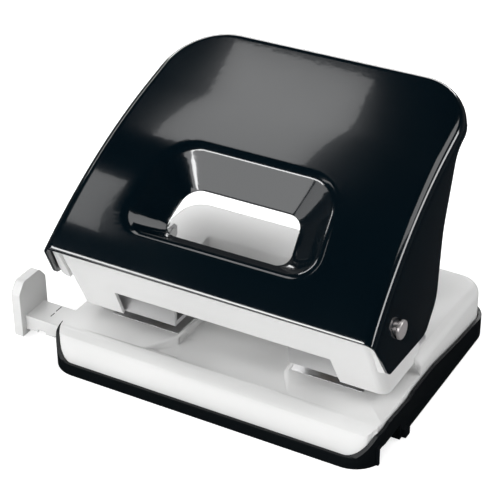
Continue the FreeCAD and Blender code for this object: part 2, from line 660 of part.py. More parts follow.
def make_pivot_washer(side):
    """Thin spacer between the lever's plate and the mechanism cover."""
    piece = Piece("pivot_washer_" + side)
    radius = "pivot_radius + 1.5"
    plate = "lever_half_width - lever_taper * (pivot_level - lever_front_level + %s)" % radius
    thick = plate + " - 1.01 * lever_sheet - cover_half_width - washer_gap"
    low, high = between(side, "cover_half_width", "cover_half_width + " + thick)
    piece.rod("X", (low, "-pivot_y", "pivot_level"), radius, thick)
    piece.rod("X", (low + " - 1", "-pivot_y", "pivot_level"), "pivot_radius", "6", cut=True)
    return piece


def make_lever_shell():
    """Glossy pressed-steel lever: curved face, folded sides and a dished grip opening."""
    piece = Piece("lever_shell")
    lead = "lever_front_slope * 1deg"
    lead_y = "-lever_front_y - 20 * cos(%s)" % lead
    lead_z = "lever_front_level - 20 * sin(%s)" % lead
    piece.pad("X", [
        (lead_y, lead_z), ("-lever_front_y", "lever_front_level"),
        ("lever_bend_y", "lever_bend_level"), ("lever_back_y", "lever_back_level"),
        ("lever_back_y", "70"),
        (lead_y + " + 30 * sin(%s)" % lead, lead_z + " - 30 * cos(%s)" % lead)],
        "2 * lever_half_width + 20", both=True,
        arcs={1: "lever_face_radius"})
    low, high = "10", "lever_back_level + 20"
    for sign in (1, -1):
        foot = "%d * (lever_half_width + lever_taper * (lever_front_level - %s))" % (sign, low)
        top = "%d * (lever_half_width - lever_taper * (%s - lever_front_level))" % (sign, high)
        far = "%d * (lever_half_width + 20)" % sign
        points = [(foot, low), (far, low), (far, high), (top, high)]
        piece.pocket("Y", points if sign > 0 else points[::-1], "400", both=True)
    piece.round_edges(
        lambda e: near(e.CenterOfMass.y, "lever_back_y") and not along(e, "x")
        and abs(e.CenterOfMass.x) > 50, "lever_corner")
    faces = [f for f in piece.shape().Faces if is_lever_face(f)]

    def on_face_border(edge):
        middle = edge.valueAt((edge.FirstParameter + edge.LastParameter) / 2)
        touching = [f for f in faces if f.isInside(middle, 1e-4, True)]
        across = along(edge, "x") and middle.y < number("lever_back_y - 1")
        return len(touching) == 1 and not across

    piece.round_edges(on_face_border, "lever_fold")
    end_y = number(lead_y + " + 15 * sin(%s)" % lead)
    bottom_y = number("(%s + lever_back_y) / 2" % (lead_y + " + 30 * sin(%s)" % lead))

    def opens(face):
        middle = face.CenterOfMass
        if abs(face.normalAt(0, 0).x) > 0.01 or abs(middle.x) > 1:
            return False
        at_lead = abs(middle.y - end_y) < 1 and middle.z < number("lever_front_level - 10")
        at_bottom = abs(middle.y - bottom_y) < 6 and middle.z < number("lever_front_level")
        return at_lead or at_bottom

    piece.hollow(opens, "lever_sheet")
    piece.pocket("X", [
        ("-lever_front_y", "lever_front_level"), ("-tip_y", "tip_level"),
        ("sole_y", "sole_level"), ("heel_y", "heel_level"), ("waist_y", "waist_level"),
        ("nape_y", "nape_level"),
        ("lever_back_y - 2", "lever_flange_level"), ("lever_back_y + 20", "lever_flange_level"),
        ("lever_back_y + 20", "0"), ("-lever_back_y", "0"),
        ("-lever_back_y", "lever_front_level")], "2 * lever_half_width + 40", both=True)
    form_grip_dish(piece)
    piece.rod("X", ("-lever_half_width - 5", "-pivot_y", "pivot_level"), "pivot_radius + 0.08",
              "2 * lever_half_width + 10", cut=True)
    return piece


def rounded_rectangle(half_width, half_length, corner, shift):
    """Return the outline of a rounded rectangle, clockwise, and its arcs."""
    left, right = "-(%s)" % half_width, "(%s)" % half_width
    bottom, top = "%s - %s" % (shift, half_length), "%s + %s" % (shift, half_length)
    points = [(left + " + " + corner, top), (right + " - " + corner, top),
              (right, top + " - " + corner), (right, bottom + " + " + corner),
              (right + " - " + corner, bottom), (left + " + " + corner, bottom),
              (left, bottom + " + " + corner), (left, top + " - " + corner)]
    return points, {1: corner, 3: corner, 5: corner, 7: corner}


def grip_outline(piece, level, grown):
    """Draw the dish's outline at a level above its rim plane, grown outwards."""
    share = "(%s) / grip_depth" % level
    points, arcs = rounded_rectangle(
        "(grip_half_width + (grip_half_width - grip_hole_half_width) * %s + %s)" % (share, grown),
        "(grip_half_length + (grip_half_length - grip_hole_half_length) * %s + %s)"
        % (share, grown),
        "(grip_corner + (grip_corner - grip_hole_corner) * %s + %s)" % (share, grown),
        "(grip_hole_shift * -%s)" % share)
    drawing = piece.sketch("Z", points, arcs=arcs)
    drawing.setExpression("AttachmentOffset.Base.z", None)
    turn = FreeCAD.Rotation(FreeCAD.Vector(1, 0, 0), number("grip_slope"))
    drawing.AttachmentOffset = FreeCAD.Placement(FreeCAD.Vector(), turn)
    tie(drawing, "AttachmentOffset.Base.y", "grip_y - (%s) * sin(grip_slope * 1deg)" % level)
    tie(drawing, "AttachmentOffset.Base.z",
        "grip_level + (%s) * cos(grip_slope * 1deg)" % level)
    return drawing


def form_grip_dish(piece):
    """Add the funnel-shaped grip opening to the face and round its rim."""
    for kind, top, bottom, grown in (
            ("PartDesign::AdditiveLoft", "grip_rise", "0.05 - grip_depth", "grip_skin"),
            ("PartDesign::SubtractiveLoft", "grip_rise + 2", "-grip_depth", "0")):
        outlines = [grip_outline(piece, top, grown), grip_outline(piece, bottom, grown)]
        loft = piece.new_feature(kind)
        loft.Profile = outlines[0]
        loft.Sections = [outlines[1]]
        loft.Ruled = True
        if kind == "PartDesign::AdditiveLoft":
            piece.pocket("X", [
                ("-lever_front_y", "lever_front_level"), ("lever_bend_y", "lever_bend_level"),
                ("lever_bend_y", "lever_back_level + 30"),
                ("-lever_front_y", "lever_back_level + 30")],
                "2 * (grip_half_width + 15)", both=True, arcs={0: "lever_face_radius"})
    faces = [f for f in piece.shape().Faces if is_lever_face(f)]

    def on_rim(edge):
        middle = edge.valueAt((edge.FirstParameter + edge.LastParameter) / 2)
        inside = (abs(middle.x) < number("grip_half_width + 4")
                  and abs(middle.y - number("grip_y")) < number("grip_half_length + 3"))
        return inside and any(f.isInside(middle, 1e-3, True) for f in faces)

    piece.round_edges(on_rim, "grip_round")


def is_lever_face(face):
    """Tell whether a face is part of the lever's sloping front."""
    start = face.valueAt(*[sum(pair) / 2 for pair in zip(face.ParameterRange[0::2],
                                                         face.ParameterRange[1::2])])
    return face.Area > 2000 and abs(face.normalAt(0, 0).x) < 0.01 and on_lever_profile(start)


def on_lever_profile(point):
    """Tell whether a point lies well above the lever's underside line."""
    front = FreeCAD.Vector(0, number("-lever_front_y"), number("lever_front_level"))
    slope = (point.z - front.z + 25) / (point.y - front.y + 25)
    return slope > 0.6 and point.y < number("lever_back_y - 1")


def make_drive_bracket(side):
    """Steel channel under the lever's front band, with two ears for the drive pin."""
    piece = Piece("drive_bracket_" + side)
    low, high = between(side, "drive_inner", "drive_outer")
    front_y, front_z = "-lever_front_y + 4.2", "lever_front_level + 1.9"
    back_y, back_z = "-lever_front_y + 10.7", "lever_front_level + 7.7"
    down_y, down_z = "1.2", "-1.35"
    strip = [(front_y, front_z), (back_y, back_z),
             (back_y + " + " + down_y, back_z + " + " + down_z),
             (front_y + " + " + down_y, front_z + " + " + down_z)]
    piece.pad("X", strip, "drive_outer - drive_inner", offset=low)
    pin_y = "sqrt(drive_arm ^ 2 - (drive_pin_level - pivot_level) ^ 2) - pivot_y"
    for start in (low, "(%s) + drive_outer - drive_inner - drive_sheet" % low):
        piece.pad("X", [
            (front_y, front_z), (back_y, back_z), ("-21", "lever_front_level + 6.4"),
            ("-10", "drive_pin_level + 3.6"), (pin_y + " + 2", "drive_pin_level + 4.2"),
            (pin_y + " + 4.4", "drive_pin_level + 2"), (pin_y + " + 4.4", "drive_pin_level - 2"),
            (pin_y + " + 2", "drive_pin_level - 4.2"), (pin_y + " - 3", "drive_pin_level - 4.2"),
            ("-20", "lever_front_level - 0.3"), (front_y + " + 1.2", front_z + " - 1.35")],
            "drive_sheet", offset=start)
    piece.rod("X", (low + " - 1", pin_y, "drive_pin_level"), "drive_pin_radius", "14", cut=True)
    return piece


def make_drive_pin(side):
    """Pin through the bracket's ears that pushes the slotted punch head."""
    piece = Piece("drive_pin_" + side)
    low, high = between(side, "drive_inner - 0.8", "drive_outer + 0.8")
    pin_y = "sqrt(drive_arm ^ 2 - (drive_pin_level - pivot_level) ^ 2) - pivot_y"
    piece.rod("X", (low, pin_y, "drive_pin_level"), "drive_pin_radius",
              "drive_outer - drive_inner + 1.6")
    for start in (low, "(%s) + drive_outer - drive_inner + 0.8" % low):
        piece.rod("X", (start, pin_y, "drive_pin_level"), "drive_pin_radius + 0.8", "0.8")
    return piece


def make_paper_guide():
    """White sliding bar with an upright stop for the paper's edge."""
    piece = Piece("paper_guide")
    piece.box(("-stop_face - 1", "-bar_front", "bar_bottom"),
              ("-bar_inner_end", "-bar_rear", "bar_top"))
    piece.pad("X", [
        ("-stop_front", "1.5"), ("-stop_front", "stop_top - 5"),
        ("-stop_front + 4", "stop_top"), ("-stop_rear - 4", "stop_top"),
        ("-stop_rear", "stop_top - 5"), ("-stop_rear", "bar_bottom - 1"),
        ("-stop_rear - 2", "1.5")], "stop_thick", offset="-stop_face - stop_thick")
    face = number("-stop_face")
    piece.round_edges(
        lambda e: along(e, "x") and e.CenterOfMass.x < face - 1
        and e.CenterOfMass.z > number("stop_top - 6"), "3")
    outer = number("-stop_face - stop_thick")
    piece.round_edges(
        lambda e: abs(e.CenterOfMass.x - outer) < 0.01 and e.CenterOfMass.z > 2, "1.2")
    for index in range(6):
        place = "-stop_face + 6 + %d * 9" % index
        piece.box((place, "-bar_front - 1", "bar_bottom - 1"),
                  (place + " + 4", "-bar_front + 2", "bar_bottom + 1.2"), cut=True)
    return piece


def make_guide_spring():
    """Bent leaf of spring steel above the guide bar that holds it where it is set."""
    piece = Piece("guide_spring")
    low, top = "bar_top + leaf_gap", "bar_top + leaf_rise"
    points = [("-leaf_outer", top), ("-leaf_seat", top), ("-leaf_dip - 2", low + " + leaf_sheet"),
              ("-leaf_dip + 2", low + " + leaf_sheet"), ("-leaf_inner", top),
              ("-leaf_inner", top + " - leaf_sheet"), ("-leaf_dip + 2", low),
              ("-leaf_dip - 2", low), ("-leaf_seat", top + " - leaf_sheet"),
              ("-leaf_outer", top + " - leaf_sheet")]
    piece.pad("Y", points, "leaf_wide", offset="leaf_rear")
    return piece


def make_chip_tray():
    """Black tray that closes the base from below and catches the chips."""
    piece = Piece("chip_tray")
    half, front, rear = "tray_half_width", "-tray_front", "tray_rear"
    piece.box(("-" + half, front, "0"), (half, rear, "tray_high"))
    piece.round_edges(lambda e: along(e, "z"), "tray_corner")
    start = "tray_half_width - tray_corner"
    inside = "tray_corner - tray_wall"
    near_y, far_y = "tray_corner - tray_front", "tray_rear - tray_corner"
    piece.box(("-(%s)" % start, front + " + tray_wall", "tray_floor"),
              (start, rear + " - tray_wall", "tray_high + 1"), cut=True)
    piece.box(("-%s + tray_wall" % half, near_y, "tray_floor"),
              (half + " - tray_wall", far_y, "tray_high + 1"), cut=True)
    for sign in (1, -1):
        for place in (near_y, far_y):
            across = "%d * (%s)" % (sign, start)
            piece.rod("Z", (across, place, "tray_floor"), inside, "tray_high", cut=True)
    top = "tray_high + 2"
    piece.pocket("X", [
        (front + " - 1", "tray_band"), (front + " + 1.5", "tray_band"),
        (front + " + 8", "tray_high - 2"), (front + " + 17", "tray_high"),
        (front + " + 17", top), (front + " - 1", top)], "2 * tray_half_width + 4", both=True)
    piece.pocket("X", [
        (front + " + 15", "tray_high + 0.01"), ("-1", "tray_high - 1.5"),
        ("3", "tray_high - 0.4"), ("24", "tray_high - 0.4"), ("50", "tray_high - 3.8"),
        ("79", "hinge_level"), (rear + " + 1", "hinge_level"), (rear + " + 1", top),
        (front + " + 15", top)], "2 * tray_half_width + 4", both=True)
    piece.pocket("X", [
        (front + " - 1", "tray_band"), (front + " + 4", "tray_band"),
        (front + " + 13", "tray_low_left"), ("-7", "tray_low_left"), ("1", "8.5"),
        (rear + " + 1", "8.5"), (rear + " + 1", top), (front + " - 1", top)],
        "30", offset="-tray_half_width - 20")
    piece.box(("-tray_half_width - 1", "-bar_front - 1", "bar_bottom - 1"),
              ("-tray_half_width + tray_wall + 0.5", "-bar_rear + 1", top), cut=True)
    inner = "tray_half_width - niche_depth"
    piece.box((inner + " - tray_wall", "-niche_front - tray_wall", "0.2"),
              ("tray_half_width - 0.3", "-niche_rear + tray_wall", "niche_top + tray_wall"))
    piece.box((inner, "-niche_front", "-1"),
              ("tray_half_width + 1", "-niche_rear", "niche_top"), cut=True)
    piece.box(("tray_half_width - tray_wall", "-8", "0"), ("tray_half_width + 1.8", "-4", "4"))
    for side in ("right", "left"):
        low, high = between(side, "ear_inner - ear_clearance", "ear_outer + ear_clearance")
        piece.box((low, rear + " - tray_wall - 1", "hinge_level - 3"),
                  (high, rear + " + 1", top), cut=True)
        for start, end in (("pin_inner", "ear_inner - knuckle_gap"),
                           ("ear_outer + knuckle_gap", "pin_outer")):
            low, high = between(side, start, end)
            piece.rod("X", (low, "hinge_y", "hinge_level"), "hinge_radius",
                      "%s - (%s)" % (end, start))
            piece.box((low, "tray_rear - 1.0", "hinge_level - hinge_radius - 1"),
                      (high, "hinge_y", "hinge_level"))
        low, high = between(side, "pin_inner - 1", "pin_outer + 1")
        piece.rod("X", (low, "hinge_y", "hinge_level"), "hinge_pin_radius + 0.05",
                  "pin_outer - pin_inner + 2", cut=True)
    return piece


def make_hinge_pin(side):
    """Steel pin that joins the tray's knuckles to the base's ear."""
    piece = Piece("hinge_pin_" + side)
    low, high = between(side, "pin_inner", "pin_outer")
    piece.rod("X", (low, "hinge_y", "hinge_level"), "hinge_pin_radius",
              "pin_outer - pin_inner")
    return piece


def main():
    """Build every piece, check it and write its file."""
    fill_sheet()
    make_base_cover()
    make_mechanism_cover()
    for side in ("left", "right"):
        make_punch_frame(side)
        make_punch_guide(side)
        make_guide_rivets(side)
        make_frame_screws(side)
        make_punch_bush(side)
        make_punch(side)
        make_spring_clip(side)
        make_punch_spring(side)
        make_side_bracket(side)
        make_bracket_screw(side)
        make_pivot_rivet(side)
        make_pivot_washer(side)
        make_drive_bracket(side)
        make_drive_pin(side)
        make_hinge_pin(side)
    make_lever_shell()
    make_paper_guide()
    make_guide_spring()
    make_chip_tray()
    write_parts()


def write_parts():
    """Check each object and write each sub-part to its own file."""
    DOC.recompute()
    for item in DOC.Objects:
        if "Invalid" in item.State or "Error" in item.State:
            raise RuntimeError("failed: %s %s" % (item.Label, item.State))
    os.makedirs(PARTS_FOLDER, exist_ok=True)
    for item in PIECES:
        shape = item.Shape
        if shape.isNull() or not shape.isValid():
            raise RuntimeError("bad shape: " + item.Label)
        shape.exportStep(os.path.join(PARTS_FOLDER, item.Label + ".step"))
        box = shape.BoundBox
        print(item.Label, len(shape.Solids), round(shape.Volume), box)


main()
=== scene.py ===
"""Studio scene of a two-hole lever punch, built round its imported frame."""

from __future__ import annotations

import json
import logging
import math
from dataclasses import dataclass, field
from enum import Enum
from typing import Callable, Sequence

import bmesh
import bpy
from mathutils import Matrix, Vector

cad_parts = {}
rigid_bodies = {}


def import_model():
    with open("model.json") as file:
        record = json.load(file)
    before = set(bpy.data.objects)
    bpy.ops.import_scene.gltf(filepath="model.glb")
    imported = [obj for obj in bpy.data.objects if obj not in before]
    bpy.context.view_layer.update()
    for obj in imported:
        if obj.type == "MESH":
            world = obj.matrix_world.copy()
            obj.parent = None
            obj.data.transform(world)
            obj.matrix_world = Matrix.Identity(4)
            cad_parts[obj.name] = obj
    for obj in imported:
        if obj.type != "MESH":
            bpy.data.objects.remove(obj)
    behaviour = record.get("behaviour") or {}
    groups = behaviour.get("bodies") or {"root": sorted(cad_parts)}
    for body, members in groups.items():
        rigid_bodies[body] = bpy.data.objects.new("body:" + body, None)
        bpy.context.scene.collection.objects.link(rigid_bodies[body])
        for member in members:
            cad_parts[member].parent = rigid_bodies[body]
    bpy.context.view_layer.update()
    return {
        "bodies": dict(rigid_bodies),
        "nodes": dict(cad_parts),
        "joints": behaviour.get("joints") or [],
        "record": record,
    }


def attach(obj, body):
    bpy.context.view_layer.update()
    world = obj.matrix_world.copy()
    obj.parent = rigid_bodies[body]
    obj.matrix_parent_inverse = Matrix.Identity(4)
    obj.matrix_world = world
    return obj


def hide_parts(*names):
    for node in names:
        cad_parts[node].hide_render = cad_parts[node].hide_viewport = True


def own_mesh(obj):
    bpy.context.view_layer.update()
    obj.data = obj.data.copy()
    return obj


LOG = logging.getLogger("hole_punch")
MM = 0.001
SAME_POINT = 1e-6  # metres: new points nearer than this are one point
SAME_CORNER = 1e-5  # metres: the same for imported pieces, and for finding a corner
PIVOT = (-13.3, 55.6)  # Y and Z of the lever's hinge line, in millimetres
Point = tuple[float, float, float]
Colour = tuple[float, float, float]


class Slot(Enum):
    """Material slots named in the part's record."""

    LEVER_PAINT = "lever_paint"
    WHITE_PLASTIC = "white_plastic"
    BLACK_PLASTIC = "black_plastic"
    SHEET_STEEL = "sheet_steel"
    PUNCH_STEEL = "punch_steel"
    SPRING_STEEL = "spring_steel"
    RIVET_CHROME = "rivet_chrome"
    BUSH_BRONZE = "bush_bronze"

    @property
    def finish(self) -> str:
        """Name of the material that is made for this slot."""
        return self.value + "_finish"


@dataclass(frozen=True)
class Finish:
    """One procedural surface finish.

    Attributes:
        slot: Record slot that the finish belongs to.
        low: Darker end of the base colour, linear.
        high: Lighter end of the base colour, linear.
        metallic: 1 for bare metal, 0 for paint and plastic.
        rough_low: Roughness in the smoothest patches.
        rough_high: Roughness in the dullest patches.
        colour_scale: Scale of the colour variation, in cycles per metre.
        bump_scale: Scale of the surface relief, in cycles per metre.
        bump_height: Height of the relief in metres.
        stretch: How much longer the grain is along X than across.
        coat: Weight of the clear coat.
        shine: Strength of the mirror reflection, 0.5 for common plastic.
        coat_rough: Roughness of the clear coat.
        colour_detail: Octaves of the colour variation.
        bump_detail: Octaves of the surface relief.
    """

    slot: Slot
    low: Colour
    high: Colour
    metallic: float
    rough_low: float
    rough_high: float
    colour_scale: float
    bump_scale: float
    bump_height: float
    stretch: float = 1.0
    coat: float = 0.0
    shine: float = 0.5
    coat_rough: float = 0.03
    colour_detail: float = 3.0
    bump_detail: float = 2.0

    def material(self) -> bpy.types.Material:
        """Build the node tree of this finish.

        Returns:
            The new material.
        """
        made = bpy.data.materials.new(self.slot.finish)
        made.use_nodes = True
        nodes, links = made.node_tree.nodes, made.node_tree.links
        shader = nodes["Principled BSDF"]
        shader.inputs["Metallic"].default_value = self.metallic
        shader.inputs["Coat Weight"].default_value = self.coat
        shader.inputs["Specular IOR Level"].default_value = self.shine
        shader.inputs["Coat Roughness"].default_value = self.coat_rough
        place = nodes.new("ShaderNodeTexCoord")
        mapping = nodes.new("ShaderNodeMapping")
        mapping.inputs["Scale"].default_value = (1.0 / self.stretch, 1.0, 1.0)
        links.new(place.outputs["Object"], mapping.inputs["Vector"])
        cloud = self._noise(nodes, links, mapping, self.colour_scale, self.colour_detail)
        grain = self._noise(nodes, links, mapping, self.bump_scale, self.bump_detail)
        tint = nodes.new("ShaderNodeMix")
        tint.data_type = "RGBA"
        tint.inputs["A"].default_value = (*self.low, 1.0)
        tint.inputs["B"].default_value = (*self.high, 1.0)
        links.new(cloud.outputs["Fac"], tint.inputs["Factor"])
        links.new(tint.outputs["Result"], shader.inputs["Base Color"])
        sheen = nodes.new("ShaderNodeMapRange")
        sheen.inputs["To Min"].default_value = self.rough_low
        sheen.inputs["To Max"].default_value = self.rough_high
        links.new(cloud.outputs["Fac"], sheen.inputs["Value"])
        links.new(sheen.outputs["Result"], shader.inputs["Roughness"])
        relief = nodes.new("ShaderNodeBump")
        relief.inputs["Strength"].default_value = 1.0
        relief.inputs["Distance"].default_value = self.bump_height
        links.new(grain.outputs["Fac"], relief.inputs["Height"])
        links.new(relief.outputs["Normal"], shader.inputs["Normal"])
        if self.coat:
            links.new(relief.outputs["Normal"], shader.inputs["Coat Normal"])
        return made

    @staticmethod
    def _noise(nodes: bpy.types.Nodes, links: bpy.types.NodeLinks, mapping: bpy.types.Node,
               scale: float, detail: float) -> bpy.types.Node:
        """Add a noise texture on Object coordinates.

        Args:
            nodes: Nodes of the material.
            links: Links of the material.
            mapping: Node that gives the coordinates.
            scale: Cycles per metre.
            detail: Octaves of detail.

        Returns:
            The texture node.
        """
        cloud = nodes.new("ShaderNodeTexNoise")
        cloud.inputs["Scale"].default_value = scale
        cloud.inputs["Detail"].default_value = detail
        links.new(mapping.outputs["Vector"], cloud.inputs["Vector"])
        return cloud


FINISHES: tuple[Finish, ...] = (
    Finish(Slot.LEVER_PAINT, (0.0009, 0.0036, 0.0060), (0.0013, 0.0050, 0.0080), 0.0,
           0.09, 0.15, 30.0, 330.0, 0.000005, coat=0.6),
    Finish(Slot.WHITE_PLASTIC, (0.74, 0.74, 0.735), (0.80, 0.80, 0.795), 0.0,
           0.34, 0.44, 25.0, 2600.0, 0.000006),
    Finish(Slot.BLACK_PLASTIC, (0.0022, 0.0034, 0.0045), (0.0040, 0.0060, 0.0075), 0.0,
           0.30, 0.42, 40.0, 2200.0, 0.00001, shine=0.22),
    Finish(Slot.SHEET_STEEL, (0.70, 0.70, 0.71), (0.82, 0.82, 0.82), 1.0,
           0.34, 0.52, 60.0, 1500.0, 0.000006, stretch=12.0),
    Finish(Slot.PUNCH_STEEL, (0.52, 0.52, 0.52), (0.66, 0.66, 0.66), 1.0,
           0.14, 0.26, 80.0, 2500.0, 0.000003, stretch=0.1),
    Finish(Slot.SPRING_STEEL, (0.30, 0.30, 0.31), (0.46, 0.46, 0.47), 1.0,
           0.20, 0.34, 150.0, 3000.0, 0.000003),
    Finish(Slot.RIVET_CHROME, (0.70, 0.66, 0.66), (0.80, 0.76, 0.76), 0.6,
           0.24, 0.36, 200.0, 1200.0, 0.000004),
    Finish(Slot.BUSH_BRONZE, (0.42, 0.30, 0.14), (0.55, 0.40, 0.20), 1.0,
           0.28, 0.42, 150.0, 2500.0, 0.000004),
)


@dataclass
class PackedPieces:
    """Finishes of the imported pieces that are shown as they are.

    Attributes:
        soft_edges: Width of the rounding on a piece's sharp edges, in millimetres.
        steps: Facets across a rounding.
        sharp: Least angle of an edge that is rounded, in degrees.
    """

    soft_edges: dict[str, float] = field(default_factory=lambda: {
        "mechanism_cover": 0.4, "chip_tray": 0.4, "punch_frame_left": 0.15,
        "punch_frame_right": 0.15, "drive_bracket_left": 0.2, "drive_bracket_right": 0.2,
        "side_bracket_left": 0.3, "side_bracket_right": 0.3})
    steps: int = 3
    sharp: float = 38.0

    def dress(self, frame: dict) -> None:
        """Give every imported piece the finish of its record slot.

        Args:
            frame: The frame as it was loaded.
        """
        made = {finish.slot.value: finish.material() for finish in FINISHES}
        slots = {row["node"]: row["material_slot"] for row in frame["record"]["subparts"]}
        for name, node in frame["nodes"].items():
            LOG.info("%s: %s", name, slots[name])
            node.data.materials.clear()
            node.data.materials.append(made[slots[name]])
            weld = node.modifiers.new("weld", "WELD")
            weld.merge_threshold = SAME_CORNER
            if name in self.soft_edges:
                soft = node.modifiers.new("soft_edges", "BEVEL")
                soft.width = self.soft_edges[name] * MM
                soft.segments = self.steps
                soft.limit_method = "ANGLE"
                soft.angle_limit = math.radians(self.sharp)
                soft.harden_normals = True


class Bench:
    """Modelling steps that several pieces share."""

    @staticmethod
    def clear_pick() -> None:
        """Leave no object selected."""
        if bpy.context.object and bpy.context.object.mode != "OBJECT":
            bpy.ops.object.mode_set(mode="OBJECT")
        bpy.ops.object.select_all(action="DESELECT")

    @classmethod
    def take(cls, piece: bpy.types.Object) -> None:
        """Select one piece alone and make it the active one.

        Args:
            piece: The piece.
        """
        cls.clear_pick()
        piece.select_set(True)
        bpy.context.view_layer.objects.active = piece

    @classmethod
    def edit(cls, piece: bpy.types.Object, mode: str = "EDGE") -> None:
        """Open a piece in edit mode with nothing picked.

        Args:
            piece: The piece to work on.
            mode: What is picked, VERT, EDGE or FACE.
        """
        cls.take(piece)
        bpy.ops.object.mode_set(mode="EDIT")
        bpy.ops.mesh.select_mode(type=mode)
        bpy.ops.mesh.select_all(action="DESELECT")

    @staticmethod
    def done() -> None:
        """Go back to object mode."""
        bpy.ops.object.mode_set(mode="OBJECT")

    @classmethod
    def block(cls, name: str, low: Point, high: Point) -> bpy.types.Object:
        """Add a box between two corners, in millimetres, at the origin.

        Args:
            name: Name of the piece.
            low: Lowest corner.
            high: Highest corner.

        Returns:
            The new piece.
        """
        cls.clear_pick()
        middle = [(a + b) / 2 * MM for a, b in zip(low, high)]
        bpy.ops.mesh.primitive_cube_add(size=1.0, location=middle)
        piece = bpy.context.object
        piece.name = piece.data.name = name
        piece.scale = [(b - a) * MM for a, b in zip(low, high)]
        bpy.ops.object.transform_apply(location=True, rotation=True, scale=True)
        return piece

    @classmethod
    def line(cls, name: str, points: Sequence[Point]) -> bpy.types.Object:
        """Draw a line point by point, and stay in edit mode.

        Args:
            name: Name of the piece.
            points: Points of the line, in millimetres.

        Returns:
            The new piece, with edges only.
        """
        cls.clear_pick()
        bpy.ops.mesh.primitive_plane_add(size=MM)
        piece = bpy.context.object
        piece.name = piece.data.name = name
        cls.edit(piece, "VERT")
        bpy.ops.mesh.select_all(action="SELECT")
        bpy.ops.mesh.merge(type="CENTER")
        bpy.ops.transform.translate(value=Vector(points[0]) * MM)
        for start, end in zip(points, points[1:]):
            step = (Vector(end) - Vector(start)) * MM
            bpy.ops.mesh.extrude_region_move(TRANSFORM_OT_translate={"value": step})
        bpy.ops.mesh.select_all(action="SELECT")
        return piece

    @classmethod
    def outline(cls, name: str, points: Sequence[Point], depth: Point) -> bpy.types.Object:
        """Draw a closed outline and extrude it to a solid.

        Args:
            name: Name of the piece.
            points: Corners of the outline, in millimetres.
            depth: Extrusion, in millimetres.

        Returns:
            The new piece.
        """
        piece = cls.line(name, points)
        bpy.ops.mesh.edge_face_add()
        bpy.ops.mesh.select_mode(type="FACE")
        bpy.ops.mesh.extrude_region_move(
            TRANSFORM_OT_translate={"value": Vector(depth) * MM})
        bpy.ops.mesh.select_all(action="SELECT")
        bpy.ops.mesh.normals_make_consistent(inside=False)
        cls.done()
        return piece

    @classmethod
    def merged_copy(cls, name: str, node: bpy.types.Object) -> bpy.types.Object:
        """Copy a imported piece's mesh, its finish with it, and merge its loose triangles.

        Args:
            name: Name of the piece.
            node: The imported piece.

        Returns:
            The new piece.
        """
        piece = bpy.data.objects.new(name, node.data.copy())
        bpy.context.scene.collection.objects.link(piece)
        cls.edit(piece)
        bpy.ops.mesh.select_all(action="SELECT")
        bpy.ops.mesh.remove_doubles(threshold=SAME_CORNER)
        cls.done()
        return piece

    @classmethod
    def pick(cls, piece: bpy.types.Object, kind: str, test: Callable[..., bool]) -> int:
        """Pick corners, edges or faces of a piece in edit mode by a test.

        Args:
            piece: The piece, in edit mode.
            kind: EDGE, FACE or VERT.
            test: Tells whether one element is picked.

        Returns:
            How many are picked.
        """
        bpy.ops.mesh.select_mode(type=kind)
        bpy.ops.mesh.select_all(action="DESELECT")
        work = bmesh.from_edit_mesh(piece.data)
        work.normal_update()
        rows = {"EDGE": work.edges, "FACE": work.faces, "VERT": work.verts}[kind]
        picked = [row for row in rows if test(row)]
        for row in picked:
            row.select_set(True)
        work.select_flush_mode()
        bmesh.update_edit_mesh(piece.data)
        return len(picked)

    @classmethod
    def round_edges(cls, piece: bpy.types.Object, test: Callable[..., bool], radius: float,
                    segments: int) -> None:
        """Round the picked edges of a piece.

        Args:
            piece: The piece, in object mode.
            test: Tells whether an edge is rounded.
            radius: Width of the rounding, in millimetres.
            segments: Facets across the rounding.
        """
        cls.edit(piece)
        if cls.pick(piece, "EDGE", test):
            bpy.ops.mesh.bevel(offset=radius * MM, offset_type="OFFSET", segments=segments,
                               profile=0.5, affect="EDGES", clamp_overlap=False)
        cls.done()

    @classmethod
    def apply(cls, piece: bpy.types.Object, kind: str, **settings: object) -> None:
        """Add one modifier, set it and apply it.

        Args:
            piece: The piece.
            kind: Type of the modifier.
            **settings: Its settings.
        """
        cls.take(piece)
        step = piece.modifiers.new(kind.lower(), kind)
        for name, value in settings.items():
            setattr(step, name, value)
        bpy.ops.object.modifier_apply(modifier=step.name)

    @classmethod
    def cut(cls, piece: bpy.types.Object, tool: bpy.types.Object) -> None:
        """Cut a piece with a tool solid and throw the tool away.

        Args:
            piece: The piece that stays.
            tool: The solid that is used up.
        """
        cls.apply(piece, "BOOLEAN", object=tool, operation="DIFFERENCE", solver="EXACT")
        bpy.data.objects.remove(tool)

    @classmethod
    def smooth(cls, piece: bpy.types.Object, angle: float = 32.0, weigh: bool = True) -> None:
        """Shade a piece smooth up to an angle.

        Args:
            piece: The piece.
            angle: Sharpest angle that is still shaded smooth, in degrees.
            weigh: Let large faces lead the shading.
        """
        cls.take(piece)
        bpy.ops.object.shade_smooth_by_angle(angle=math.radians(angle))
        if weigh:
            cls.apply(piece, "WEIGHTED_NORMAL", keep_sharp=True, weight=60)

    @staticmethod
    def paint(piece: bpy.types.Object, slot: Slot) -> None:
        """Give a finished piece the material of a slot and report it.

        Args:
            piece: The piece.
            slot: Slot whose finish it takes.
        """
        piece.data.materials.clear()
        piece.data.materials.append(bpy.data.materials[slot.finish])
        LOG.info("%s: %s, %d faces", piece.name, slot.value, len(piece.data.polygons))


